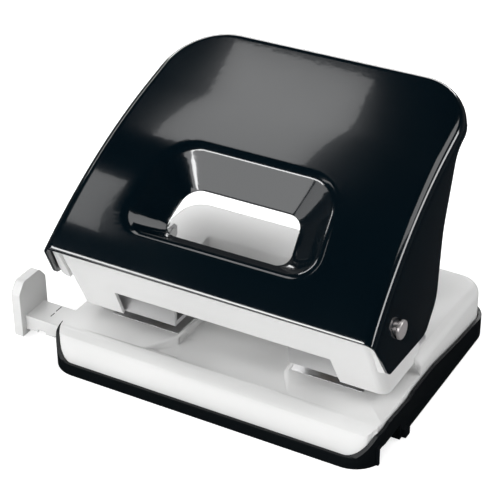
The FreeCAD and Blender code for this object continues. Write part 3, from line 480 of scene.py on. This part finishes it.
@dataclass(frozen=True)
class Ring:
    """Closed line with rounded corners on the flat pressing, in millimetres.

    Attributes:
        low: Start of the line along the face.
        high: End of the line along the face.
        half_low: Half-width at the start.
        half_high: Half-width at the end.
        corner_low: Corner radius at the start.
        corner_high: Corner radius at the end.
        level: Height above the face.
        shift: How far the line lies to the right of the middle.
        corner_steps: Facets across a corner.
        long_run: Length above which an edge is divided.
        run_cuts: Cuts that divide a long edge.
    """

    low: float
    high: float
    half_low: float
    half_high: float
    corner_low: float
    corner_high: float
    level: float = 0.0
    shift: float = 0.0
    corner_steps: int = 12
    long_run: float = 8.0
    run_cuts: int = 6

    def grown(self, by: float) -> Ring:
        """Give the line that runs all round this one.

        Args:
            by: Distance between the two lines.

        Returns:
            The outer line.
        """
        return Ring(self.low - by, self.high + by, self.half_low + by, self.half_high + by,
                    self.corner_low + by, self.corner_high + by, self.level, self.shift)

    def towards(self, other: Ring, share: float, level: float) -> Ring:
        """Give a line between this one and another.

        Args:
            other: The other line.
            share: 0 for this line's outline, 1 for the other's.
            level: Height of the new line above the face.

        Returns:
            The line between.
        """
        pairs = ((self.low, other.low), (self.high, other.high),
                 (self.half_low, other.half_low), (self.half_high, other.half_high),
                 (self.corner_low, other.corner_low),
                 (self.corner_high, other.corner_high))
        return Ring(*(a + share * (b - a) for a, b in pairs), level, self.shift)

    def draw(self) -> bpy.types.Object:
        """Shape a plane to the line and take its face away.

        Returns:
            A piece with edges only.
        """
        Bench.clear_pick()
        bpy.ops.mesh.primitive_plane_add(size=2.0)
        piece = bpy.context.object
        middle = (self.high + self.low) / 2 * MM
        piece.scale = (self.half_low * MM, (self.high - self.low) / 2 * MM, 1)
        piece.location = (self.shift * MM, middle, self.level * MM)
        bpy.ops.object.transform_apply(location=True, rotation=True, scale=True)
        Bench.edit(piece, "VERT")
        Bench.pick(piece, "VERT", lambda v: v.co.y > middle)
        bpy.ops.transform.resize(
            value=(self.half_high / self.half_low, 1, 1),
            center_override=(self.shift * MM, self.high * MM, self.level * MM))
        bpy.ops.mesh.bevel(offset=self.corner_high * MM, segments=self.corner_steps,
                           affect="VERTICES", clamp_overlap=False)
        near_low = (self.low + 0.01 * (self.high - self.low)) * MM
        Bench.pick(piece, "VERT", lambda v: v.co.y < near_low)
        bpy.ops.mesh.bevel(offset=self.corner_low * MM, segments=self.corner_steps,
                           affect="VERTICES", clamp_overlap=False)
        Bench.pick(piece, "FACE", lambda f: True)
        bpy.ops.mesh.delete(type="ONLY_FACE")
        Bench.pick(piece, "EDGE", lambda e: e.calc_length() > self.long_run * MM)
        bpy.ops.mesh.subdivide(number_cuts=self.run_cuts)
        Bench.done()
        return piece


@dataclass
class Lever:
    """Glossy pressed-steel lever with its dished grip.

    The pressing is drawn flat, with X across, Y up the face and Z out of it, then rolled to
    the face's curve and trimmed along its sides. Sizes are in millimetres and degrees.

    Attributes:
        half_width: Half-width of the lever at its front edge.
        taper: Narrowing of a side for each millimetre of height.
        sheet: Thickness of the steel.
        fold: Radius of the fold between face and sides.
        fold_margin: Flat strip between the face and the fold.
        fold_steps: Facets across the fold.
        corner: Corner radius at the far end of the face.
        lead: How far the sides run on before the front edge.
        lead_corner: Corner radius of that end.
        front_y: Y of the front edge.
        front_level: Z of the front edge.
        face_radius: Radius of the rolled face.
        face_slope: Slope of the face at the front edge.
        curved_length: Length of the rolled part of the face.
        length: Length of the whole face.
        side_depth: Depth of the sides before they are trimmed.
        strip: Width of the strips of the rolled part.
        end_strips: Number of strips of the straight part.
        hole: Edge of the grip's hole, at the bottom of the dish.
        rim: Edge of the dish on the face.
        wall_steps: Facets down the dish's wall.
        wall_bow: Below 1 the wall is steeper at its top.
        rim_round: Width of the rim's rounding.
        rim_steps: Facets across the rim's rounding.
        rim_reach: How near to the rim an edge counts as part of it.
        guard: Distance from the rim to the first line round it.
        edge_round: Width of the rounding on all cut edges.
        edge_steps: Facets across that rounding.
        edge_angle: Least angle of an edge that is rounded.
        smooth_angle: Sharpest angle that is shaded smooth.
        pivot_radius: Radius of the pivot holes.
        pivot_sides: Facets round a pivot hole.
        contour: Outline of what is cut off the sides, as Y and Z.
        contour_rounds: Corners of the contour that are rounded, and their radii.
        contour_steps: Facets across a rounded corner.
        trim_margin: How far the cutting tools reach past the sides.
    """

    half_width: float = 75.9
    taper: float = 0.11
    sheet: float = 1.2
    fold: float = 4.5
    fold_margin: float = 1.0
    fold_steps: int = 8
    corner: float = 28.0
    lead: float = 14.0
    lead_corner: float = 2.0
    front_y: float = -34.3
    front_level: float = 59.7
    face_radius: float = 212.0
    face_slope: float = 43.0
    curved_length: float = 88.9
    length: float = 129.2
    side_depth: float = 75.0
    strip: float = 1.9
    end_strips: int = 10
    hole: Ring = Ring(22.8, 46.6, 29.6, 27.0, 6.5, 6.5, level=-9.6, shift=-2.5)
    rim: Ring = Ring(17.6, 62.0, 45.6, 41.6, 11.0, 15.0, shift=-2.5)
    wall_steps: int = 5
    wall_bow: float = 0.9
    rim_round: float = 2.6
    rim_steps: int = 7
    rim_reach: float = 1.0
    guard: float = 7.0
    edge_round: float = 0.28
    edge_steps: int = 2
    edge_angle: float = 60.0
    smooth_angle: float = 34.0
    pivot_radius: float = 3.08
    pivot_sides: int = 48
    contour: tuple[tuple[float, float], ...] = (
        (-34.3, 59.7), (-24.6, 41.0), (9.5, 40.2), (21.5, 49.8), (31.5, 75.5),
        (49.5, 103.0), (77.5, 109.5), (110.0, 109.5), (110.0, -20.0), (-90.0, -20.0),
        (-90.0, 59.7))
    contour_rounds: tuple[tuple[int, float], ...] = (
        (1, 4.0), (2, 9.0), (3, 12.0), (4, 40.0), (5, 14.0))
    contour_steps: int = 8
    trim_margin: float = 20.0

    def build(self) -> bpy.types.Object:
        """Model the whole lever shell.

        Returns:
            The finished piece, at the origin.
        """
        piece = self._pressing()
        self._slice(piece)
        Bench.apply(piece, "SOLIDIFY", thickness=self.sheet * MM, offset=-1.0,
                    use_even_offset=False, use_rim=True)
        self._roll(piece)
        self._trim(piece)
        Bench.apply(piece, "BEVEL", width=self.edge_round * MM, segments=self.edge_steps,
                    limit_method="ANGLE", angle_limit=math.radians(self.edge_angle),
                    harden_normals=False)
        Bench.smooth(piece, self.smooth_angle, weigh=False)
        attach(piece, "lever")
        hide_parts("lever_shell")
        Bench.paint(piece, Slot.LEVER_PAINT)
        return piece

    def _lines(self) -> list[Ring]:
        """List the closed lines from the grip's hole out to the lower rim of the sides.

        Returns:
            The lines, innermost first.
        """
        lines = []
        for step in range(self.wall_steps):
            share = step / self.wall_steps
            lines.append(self.hole.towards(
                self.rim, share, self.hole.level * (1 - share) ** self.wall_bow))
        lines += [self.rim, self.rim.grown(self.guard),
                  self._side_line(self.fold + self.fold_margin, 0.0)]
        for step in range(self.fold_steps + 1):
            turn = math.radians(90.0 * step / self.fold_steps)
            lines.append(self._side_line(self.fold * (1 - math.sin(turn)),
                                         self.fold * (math.cos(turn) - 1)))
        lines.append(self._side_line(0.0, -self.side_depth))
        return lines

    def _side_line(self, inset: float, level: float) -> Ring:
        """Give a closed line round the whole lever.

        Args:
            inset: How far the line lies inside the lever's outline.
            level: Height above the face.

        Returns:
            The line.
        """
        half = self.half_width - inset
        return Ring(inset - self.lead, self.length - inset, half, half, self.lead_corner,
                    self.corner - inset, level)

    def _pressing(self) -> bpy.types.Object:
        """Bridge the closed lines one to the next and round the grip's rim.

        Returns:
            The flat pressing as a surface, open below and in the grip.
        """
        first, *others = self._lines()
        piece = first.draw()
        piece.name = piece.data.name = "lever_skin"
        floor = self.hole.level * MM
        for index, line in enumerate(others):
            ring = line.draw()
            Bench.take(piece)
            ring.select_set(True)
            bpy.ops.object.join()
            Bench.edit(piece)
            Bench.pick(piece, "EDGE", lambda e, start=index == 0: len(e.link_faces) < 2 and (
                start or any(abs(v.co.z - floor) > SAME_POINT for v in e.verts)))
            bpy.ops.mesh.bridge_edge_loops()
            Bench.done()
        Bench.edit(piece, "FACE")
        bpy.ops.mesh.select_all(action="SELECT")
        bpy.ops.mesh.normals_make_consistent(inside=False)
        Bench.done()
        Bench.round_edges(piece, self._on_rim, self.rim_round, self.rim_steps)
        return piece

    def _on_rim(self, edge: bmesh.types.BMEdge) -> bool:
        """Tell whether an edge of the flat pressing is part of the grip's rim.

        Args:
            edge: The edge.

        Returns:
            Whether it is.
        """
        place = edge.verts[0].co / MM
        return (all(abs(v.co.z) < SAME_POINT for v in edge.verts)
                and any(f.normal.z < 0.99 for f in edge.link_faces)
                and abs(place.x - self.rim.shift) < self.rim.half_low + self.rim_reach
                and self.rim.low - self.rim_reach < place.y < self.rim.high + self.rim_reach)

    def _slice(self, piece: bpy.types.Object) -> None:
        """Cut the flat pressing into strips, so that it can be rolled.

        Args:
            piece: The flat pressing.
        """
        count = int(self.curved_length / self.strip)
        straight = self.length - self.curved_length
        places = [self.curved_length * index / count for index in range(count + 1)]
        places += [self.curved_length + straight * index / self.end_strips
                   for index in range(1, self.end_strips)]
        Bench.edit(piece, "FACE")
        for place in places:
            bpy.ops.mesh.select_all(action="SELECT")
            bpy.ops.mesh.bisect(plane_co=(0, place * MM, 0), plane_no=(0, 1, 0))
        Bench.done()

    def _roll(self, piece: bpy.types.Object) -> None:
        """Roll the flat pressing to the face's curve and narrow it upwards.

        Args:
            piece: The flat pressing.
        """
        for vertex in piece.data.vertices:
            vertex.co = self._rolled(*(value / MM for value in vertex.co))
        piece.data.update()

    def _rolled(self, across: float, along: float, out: float) -> Point:
        """Give the place that a point of the flat pressing has on the rolled lever.

        The face follows its arc up to the curved length and runs straight on from there.
        What stands out of the straight part turns upright towards the far end.

        Args:
            across: Distance from the middle.
            along: Distance from the front edge along the face.
            out: Height above the face.

        Returns:
            The place, in metres.
        """
        slope, radius = math.radians(self.face_slope), self.face_radius
        on_arc = min(max(along, 0.0), self.curved_length)
        beyond = along - on_arc
        turned = slope - on_arc / radius
        lean = turned
        if along > self.curved_length:
            lean *= 1.0 - min(beyond / (self.length - self.curved_length), 1.0)
        y = self.front_y + radius * math.sin(slope) - radius * math.sin(turned)
        z = self.front_level - radius * math.cos(slope) + radius * math.cos(turned)
        y += beyond * math.cos(turned) - out * math.sin(lean)
        z += beyond * math.sin(turned) + out * math.cos(lean)
        narrow = 1.0 - self.taper * (z - self.front_level) / self.half_width
        return across * narrow * MM, y * MM, z * MM

    def _trim(self, piece: bpy.types.Object) -> None:
        """Trim the side plates and drill the pivot holes.

        Args:
            piece: The rolled pressing.
        """
        reach = self.half_width + self.trim_margin
        tool = Bench.outline("lever_trim", [(-reach, y, z) for y, z in self.contour],
                             (2 * reach, 0, 0))
        for corner, radius in self.contour_rounds:
            before, here, after = (Vector(self.contour[corner + step]) for step in (-1, 0, 1))
            turn = (here - before).angle(after - here)
            y, z = here * MM
            Bench.round_edges(tool, lambda e, y=y, z=z: all(
                abs(v.co.y - y) < SAME_CORNER and abs(v.co.z - z) < SAME_CORNER
                for v in e.verts), radius * math.tan(turn / 2), self.contour_steps)
        Bench.cut(piece, tool)
        Bench.clear_pick()
        bpy.ops.mesh.primitive_cylinder_add(
            vertices=self.pivot_sides, radius=self.pivot_radius * MM, depth=2 * reach * MM,
            location=(0, PIVOT[0] * MM, PIVOT[1] * MM), rotation=(0, math.pi / 2, 0))
        drill = bpy.context.object
        bpy.ops.object.transform_apply(location=True, rotation=True, scale=True)
        Bench.cut(piece, drill)


@dataclass
class GuideMarks:
    """Index ticks and plain numbers on the top of the paper guide, in millimetres.

    Attributes:
        first: Place of the first tick along the bar.
        step: Distance from one tick to the next.
        count: Number of ticks.
        tick_width: Width of a tick.
        tick_length: Length of a tick.
        back: Y of the ticks' rear end.
        top: Z of the bar's top.
        height: How far the marks stand above the bar.
        root: How far the marks reach into the bar.
        number_size: Size of the numbers.
        number_shift: How far a number starts to the left of its tick.
        flat: Angle below which a number's faces become one, in degrees.
    """

    first: float = -88.0
    step: float = 9.0
    count: int = 8
    tick_width: float = 0.45
    tick_length: float = 4.2
    back: float = -8.3
    top: float = 11.0
    height: float = 0.06
    root: float = 0.3
    number_size: float = 4.4
    number_shift: float = 0.9
    flat: float = 1.0

    def build(self) -> list[bpy.types.Object]:
        """Model every tick and number.

        Returns:
            The finished pieces.
        """
        pieces = []
        half = self.tick_width / 2
        for index in range(self.count):
            middle = self.first + index * self.step
            pieces.append(Bench.block(
                f"guide_tick_{index + 1}",
                (middle - half, self.back - self.tick_length, self.top - self.root),
                (middle + half, self.back, self.top + self.height)))
            pieces.append(self._number(index + 1, middle))
        for piece in pieces:
            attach(piece, "paper_guide")
            Bench.paint(piece, Slot.BLACK_PLASTIC)
        return pieces

    def _number(self, value: int, middle: float) -> bpy.types.Object:
        """Write one number in front of its tick.

        Args:
            value: The number.
            middle: Place of its tick along the bar.

        Returns:
            The number as a mesh.
        """
        Bench.clear_pick()
        bpy.ops.object.text_add(location=(
            (middle - self.number_shift) * MM,
            (self.back - self.tick_length - self.number_size) * MM,
            (self.top - self.root) * MM))
        text = bpy.context.object
        text.data.body = str(value)
        text.data.size = self.number_size * MM
        text.data.extrude = (self.height + self.root) * MM
        bpy.ops.object.convert(target="MESH")
        text = bpy.context.object
        text.name = text.data.name = f"guide_number_{value}"
        bpy.ops.object.transform_apply(location=True, rotation=True, scale=True)
        Bench.edit(text, "VERT")
        bpy.ops.mesh.select_all(action="SELECT")
        bpy.ops.mesh.remove_doubles(threshold=SAME_POINT)
        bpy.ops.mesh.dissolve_limited(angle_limit=math.radians(self.flat))
        bpy.ops.mesh.normals_make_consistent(inside=False)
        Bench.done()
        return text


@dataclass
class PivotRivet:
    """Turned rivet that the lever swings on, in millimetres.

    Attributes:
        side: Name of its side, left or right.
        sign: -1 on the left and 1 on the right.
        profile: Distance from the lever's middle plane and radius, from the shank's inner
            end to the crown of the head.
        steps: Facets round the rivet.
        smooth_angle: Sharpest angle that is shaded smooth, in degrees.
    """

    side: str
    sign: int
    profile: tuple[tuple[float, float], ...] = (
        (67.5, 0.0), (67.5, 4.0), (69.0, 4.0), (69.0, 3.0), (76.94, 3.0), (76.94, 3.9),
        (77.04, 4.0), (77.74, 4.0), (77.97, 3.95), (78.16, 3.82), (78.29, 3.62),
        (78.34, 3.38), (78.36, 3.0), (78.42, 1.5), (78.44, 0.0))
    steps: int = 64
    smooth_angle: float = 30.0

    def build(self) -> bpy.types.Object:
        """Spin the profile round the hinge line.

        Returns:
            The finished rivet.
        """
        y, z = PIVOT
        piece = Bench.line(f"rivet_{self.side}", [
            (self.sign * out, y, z + radius) for out, radius in self.profile])
        bpy.ops.mesh.spin(steps=self.steps, angle=2 * math.pi,
                          center=(0, y * MM, z * MM), axis=(1, 0, 0))
        bpy.ops.mesh.select_all(action="SELECT")
        bpy.ops.mesh.remove_doubles(threshold=SAME_POINT)
        bpy.ops.mesh.normals_make_consistent(inside=False)
        Bench.done()
        Bench.smooth(piece, self.smooth_angle, weigh=False)
        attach(piece, "base")
        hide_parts(f"pivot_rivet_{self.side}")
        Bench.paint(piece, Slot.RIVET_CHROME)
        return piece


@dataclass
class CoverShell:
    """The base's white cover, with its guide rails cut off level with the table's recess.

    Attributes:
        rail_ends: Lowest and highest corner of each length of rail that is cut away, in
            millimetres.
    """

    rail_ends: tuple[tuple[Point, Point], ...] = (
        ((-25.3, -7.8, 13.22), (-18.5, -4.6, 15.6)),
        ((-31.0, -22.3, 13.22), (-18.5, -21.2, 15.6)))

    def build(self, node: bpy.types.Object) -> bpy.types.Object:
        """Merge a copy of the cover and cut its rails back.

        Args:
            node: The cover as it was packed.

        Returns:
            The finished piece.
        """
        piece = Bench.merged_copy("cover_shell", node)
        for low, high in self.rail_ends:
            Bench.cut(piece, Bench.block("rail_end", low, high))
        Bench.smooth(piece)
        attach(piece, "base")
        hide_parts("base_cover")
        Bench.paint(piece, Slot.WHITE_PLASTIC)
        return piece


@dataclass
class ReturnSpring:
    """Coil round a punch, in millimetres; the real coil shortens as the punch goes down, but
    this piece keeps its packed length.

    Attributes:
        side: Name of its side, left or right.
        sign: -1 on the left and 1 on the right; not used.
        low: Z of its lower end; not used.
        high: Z of its upper end while the lever is up; not used.
        stroke: Travel of the punch; not used.
        clearance: Gap that is left below the clip at the end of the stroke; not used.
    """

    side: str
    sign: int
    low: float = 24.85
    high: float = 38.15
    stroke: float = 8.0
    clearance: float = 0.02

    def build(self, node: bpy.types.Object) -> bpy.types.Object:
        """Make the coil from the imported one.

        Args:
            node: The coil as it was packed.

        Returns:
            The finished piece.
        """
        piece = Bench.merged_copy(f"return_spring_{self.side}", node)
        Bench.smooth(piece)
        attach(piece, "base")
        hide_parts(f"punch_spring_{self.side}")
        Bench.paint(piece, Slot.SPRING_STEEL)
        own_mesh(piece)
        return piece


@dataclass
class CoverEar:
    """Side end of the mechanism cover's front plate, in millimetres.

    Attributes:
        side: Name of its side, left or right.
        sign: -1 on the left and 1 on the right.
        top: Y and Z of the plate's upper end.
        foot: Y and Z of the plate's lower end.
        sheet: Thickness of the plate.
        outline: Distance from the middle and height of each corner, on the outer face.
        free_from: Distance from the middle past which the edges are rounded.
        edge_round: Width of that rounding.
        edge_steps: Facets across it.
        smooth_angle: Sharpest angle that is shaded smooth, in degrees.
    """

    side: str
    sign: int
    top: tuple[float, float] = (-30.5, 58.0)
    foot: tuple[float, float] = (-13.2, 21.8)
    sheet: float = 1.5
    outline: tuple[tuple[float, float], ...] = (
        (71.8, 57.6), (74.4, 57.6), (75.8, 45.0), (75.8, 41.0), (75.2, 39.4), (73.8, 38.8),
        (71.8, 38.8))
    free_from: float = 73.0
    edge_round: float = 0.35
    edge_steps: int = 3
    smooth_angle: float = 40.0

    def build(self) -> bpy.types.Object:
        """Extrude the outline inward and round its free edges.

        Returns:
            The finished piece.
        """
        run = Vector(self.foot) - Vector(self.top)
        points = [(self.sign * across,
                   self.top[0] + (level - self.top[1]) / run.y * run.x, level)
                  for across, level in self.outline]
        inward = Vector((0.0, -run.y, run.x)).normalized() * self.sheet
        piece = Bench.outline(f"cover_ear_{self.side}", points, inward)
        Bench.round_edges(piece, lambda e: all(
            abs(v.co.x) > self.free_from * MM for v in e.verts),
            self.edge_round, self.edge_steps)
        Bench.smooth(piece, self.smooth_angle)
        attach(piece, "base")
        Bench.paint(piece, Slot.WHITE_PLASTIC)
        return piece


@dataclass(frozen=True)
class SoftBox:
    """One rectangular lamp.

    Attributes:
        name: Name of the lamp.
        place: Where it hangs, in metres.
        size: Width and height in metres.
        power: Power in watts.
        target: What it is aimed at, in metres.
        twist: Turn about the lamp's own axis, in degrees.
    """

    name: str
    place: Point
    size: tuple[float, float]
    power: float
    target: Point = (0.0, 0.02, 0.05)
    twist: float = 0.0

    def hang(self) -> None:
        """Hang the lamp and aim it."""
        lamp = bpy.data.lights.new(self.name, "AREA")
        lamp.shape = "RECTANGLE"
        lamp.size, lamp.size_y = self.size
        lamp.energy = self.power
        hung = bpy.data.objects.new(self.name, lamp)
        bpy.context.scene.collection.objects.link(hung)
        hung.location = self.place
        aim = Vector(self.target) - Vector(self.place)
        turn = aim.to_track_quat("-Z", "Y").to_matrix() @ Matrix.Rotation(
            math.radians(self.twist), 3, "Z")
        hung.rotation_euler = turn.to_euler()


LAMPS: tuple[SoftBox, ...] = (
    SoftBox("box_above_left", (-0.395, 0.245, 0.86), (0.155, 0.33), 0.37,
            (-0.395, 0.245, 0.0), -3.0),
    SoftBox("box_side_left", (-0.565, -0.26, 0.86), (0.07, 0.27), 0.13,
            (-0.565, -0.26, 0.0), -14.0),
    SoftBox("strip_rim", (-0.55, -0.88, 0.86), (1.0, 0.12), 5.0),
    SoftBox("box_front", (-0.20, -1.35, 0.70), (1.4, 0.8), 9.0),
    SoftBox("box_front_left", (-1.3, -0.9, 0.6), (0.8, 0.8), 3.0),
    SoftBox("box_top", (0.45, 0.35, 1.5), (1.0, 0.8), 5.0),
    SoftBox("strip_right", (1.05, 0.25, 0.90), (1.2, 0.26), 7.0),
    SoftBox("strip_back", (-0.55, 1.15, 0.56), (1.4, 0.28), 8.0),
    SoftBox("strip_left", (-1.05, 0.42, 0.72), (0.7, 0.10), 1.2),
    SoftBox("strip_low", (-0.75, -1.3, 0.10), (1.0, 0.14), 2.0),
)


@dataclass
class Studio:
    """Floor, world, lamps and camera.

    Attributes:
        focal: Focal length of the lens, in millimetres.
        sensor: Width of the sensor, in millimetres.
        azimuth: Turn of the camera round the object, in degrees.
        elevation: How far the camera looks down, in degrees.
        roll: Turn of the camera about its own axis, in degrees.
        place: Where the camera stands, in millimetres.
        clip: Nearest and farthest distance that is drawn, in metres.
        floor_size: Side of the floor, in metres.
        floor_drop: How far the floor lies below the object, in metres.
        floor_colour: Colour of the floor.
        floor_mirrored: Colour of the floor in glossy reflections.
        floor_fade: The floor's own light from near, in the shadow, to far, where it is
            white.
        horizon: Colour of the world at the horizon.
        horizon_at: Height of the horizon on the colour ramp.
        overhead: Colour of the world overhead.
        overhead_at: Height on the ramp from which the world has that colour.
        world_strength: Strength of the world's light.
        world_mirrored: Strength of the world in glossy reflections.
    """

    focal: float = 118.97
    sensor: float = 36.0
    azimuth: float = 29.6
    elevation: float = 31.5
    roll: float = -0.6
    place: Point = (286.04, -497.58, 413.33)
    clip: tuple[float, float] = (0.01, 50.0)
    floor_size: float = 8.0
    floor_drop: float = 0.0002
    floor_colour: Colour = (0.85, 0.85, 0.85)
    floor_mirrored: Colour = (0.025, 0.026, 0.028)
    floor_fade: dict[str, float] = field(default_factory=lambda: {
        "From Min": 0.3, "From Max": 1.2, "To Min": 0.62, "To Max": 1.0})
    horizon: Colour = (0.75, 0.75, 0.75)
    horizon_at: float = 0.1
    overhead: Colour = (0.03, 0.032, 0.034)
    overhead_at: float = 0.55
    world_strength: float = 0.75
    world_mirrored: float = 0.12

    def build(self) -> None:
        """Build the whole studio."""
        self._floor()
        self._world()
        for lamp in LAMPS:
            lamp.hang()
        self._camera()

    def _floor(self) -> None:
        """Lay a pale floor that keeps the shadow and looks white."""
        bpy.ops.mesh.primitive_plane_add(size=self.floor_size,
                                         location=(0, 0, -self.floor_drop))
        floor = bpy.context.object
        floor.name = "studio_floor"
        made = bpy.data.materials.new("studio_floor_white")
        made.use_nodes = True
        nodes, links = made.node_tree.nodes, made.node_tree.links
        nodes.clear()
        out = nodes.new("ShaderNodeOutputMaterial")
        add = nodes.new("ShaderNodeAddShader")
        matt = nodes.new("ShaderNodeBsdfDiffuse")
        glow = nodes.new("ShaderNodeEmission")
        path = nodes.new("ShaderNodeLightPath")
        level = nodes.new("ShaderNodeMath")
        level.operation = "MULTIPLY"
        spot = nodes.new("ShaderNodeTexCoord")
        reach = nodes.new("ShaderNodeVectorMath")
        reach.operation = "LENGTH"
        fade = nodes.new("ShaderNodeMapRange")
        for name, value in self.floor_fade.items():
            fade.inputs[name].default_value = value
        links.new(spot.outputs["Object"], reach.inputs[0])
        links.new(reach.outputs["Value"], fade.inputs["Value"])
        links.new(fade.outputs["Result"], level.inputs[1])
        links.new(path.outputs["Is Camera Ray"], level.inputs[0])
        links.new(level.outputs[0], glow.inputs["Strength"])
        shade = nodes.new("ShaderNodeMix")
        shade.data_type = "RGBA"
        shade.inputs["A"].default_value = (*self.floor_colour, 1)
        shade.inputs["B"].default_value = (*self.floor_mirrored, 1)
        links.new(path.outputs["Is Glossy Ray"], shade.inputs["Factor"])
        links.new(shade.outputs["Result"], matt.inputs["Color"])
        links.new(matt.outputs[0], add.inputs[0])
        links.new(glow.outputs[0], add.inputs[1])
        links.new(add.outputs[0], out.inputs["Surface"])
        floor.data.materials.append(made)

    def _world(self) -> None:
        """Light from all round: bright at the horizon, dim overhead, white to the camera."""
        world = bpy.data.worlds.new("studio_world")
        bpy.context.scene.world = world
        world.use_nodes = True
        nodes, links = world.node_tree.nodes, world.node_tree.links
        nodes.clear()
        out = nodes.new("ShaderNodeOutputWorld")
        place = nodes.new("ShaderNodeTexCoord")
        split = nodes.new("ShaderNodeSeparateXYZ")
        ramp = nodes.new("ShaderNodeValToRGB")
        low, high = ramp.color_ramp.elements
        low.position, low.color = self.horizon_at, (*self.horizon, 1)
        high.position, high.color = self.overhead_at, (*self.overhead, 1)
        links.new(place.outputs["Generated"], split.inputs[0])
        links.new(split.outputs["Z"], ramp.inputs["Fac"])
        room = nodes.new("ShaderNodeBackground")
        links.new(ramp.outputs["Color"], room.inputs["Color"])
        dim = nodes.new("ShaderNodeMapRange")
        dim.inputs["To Min"].default_value = self.world_strength
        dim.inputs["To Max"].default_value = self.world_mirrored
        white = nodes.new("ShaderNodeBackground")
        white.inputs["Color"].default_value = (1, 1, 1, 1)
        path = nodes.new("ShaderNodeLightPath")
        mix = nodes.new("ShaderNodeMixShader")
        links.new(path.outputs["Is Glossy Ray"], dim.inputs["Value"])
        links.new(dim.outputs["Result"], room.inputs["Strength"])
        links.new(path.outputs["Is Camera Ray"], mix.inputs["Fac"])
        links.new(room.outputs[0], mix.inputs[1])
        links.new(white.outputs[0], mix.inputs[2])
        links.new(mix.outputs[0], out.inputs["Surface"])

    def _camera(self) -> None:
        """Place the camera."""
        data = bpy.data.cameras.new("studio_camera")
        data.lens, data.sensor_width = self.focal, self.sensor
        data.clip_start, data.clip_end = self.clip
        camera = bpy.data.objects.new("studio_camera", data)
        bpy.context.scene.collection.objects.link(camera)
        turn = (Matrix.Rotation(math.radians(self.azimuth), 4, "Z")
                @ Matrix.Rotation(math.radians(90 - self.elevation), 4, "X")
                @ Matrix.Rotation(math.radians(self.roll), 4, "Z"))
        camera.matrix_world = Matrix.Translation(Vector(self.place) * MM) @ turn
        bpy.context.scene.camera = camera


def main() -> None:
    """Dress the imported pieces, model the new ones and set up the studio."""
    logging.basicConfig(level=logging.INFO)
    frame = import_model()
    nodes = frame["nodes"]
    PackedPieces().dress(frame)
    Lever().build()
    CoverShell().build(nodes["base_cover"])
    GuideMarks().build()
    for side, sign in (("left", -1), ("right", 1)):
        PivotRivet(side, sign).build()
        CoverEar(side, sign).build()
        ReturnSpring(side, sign).build(nodes[f"punch_spring_{side}"])
    Studio().build()
    bpy.context.scene.view_settings.view_transform = "Standard"


if __name__ == "__main__":
    main()
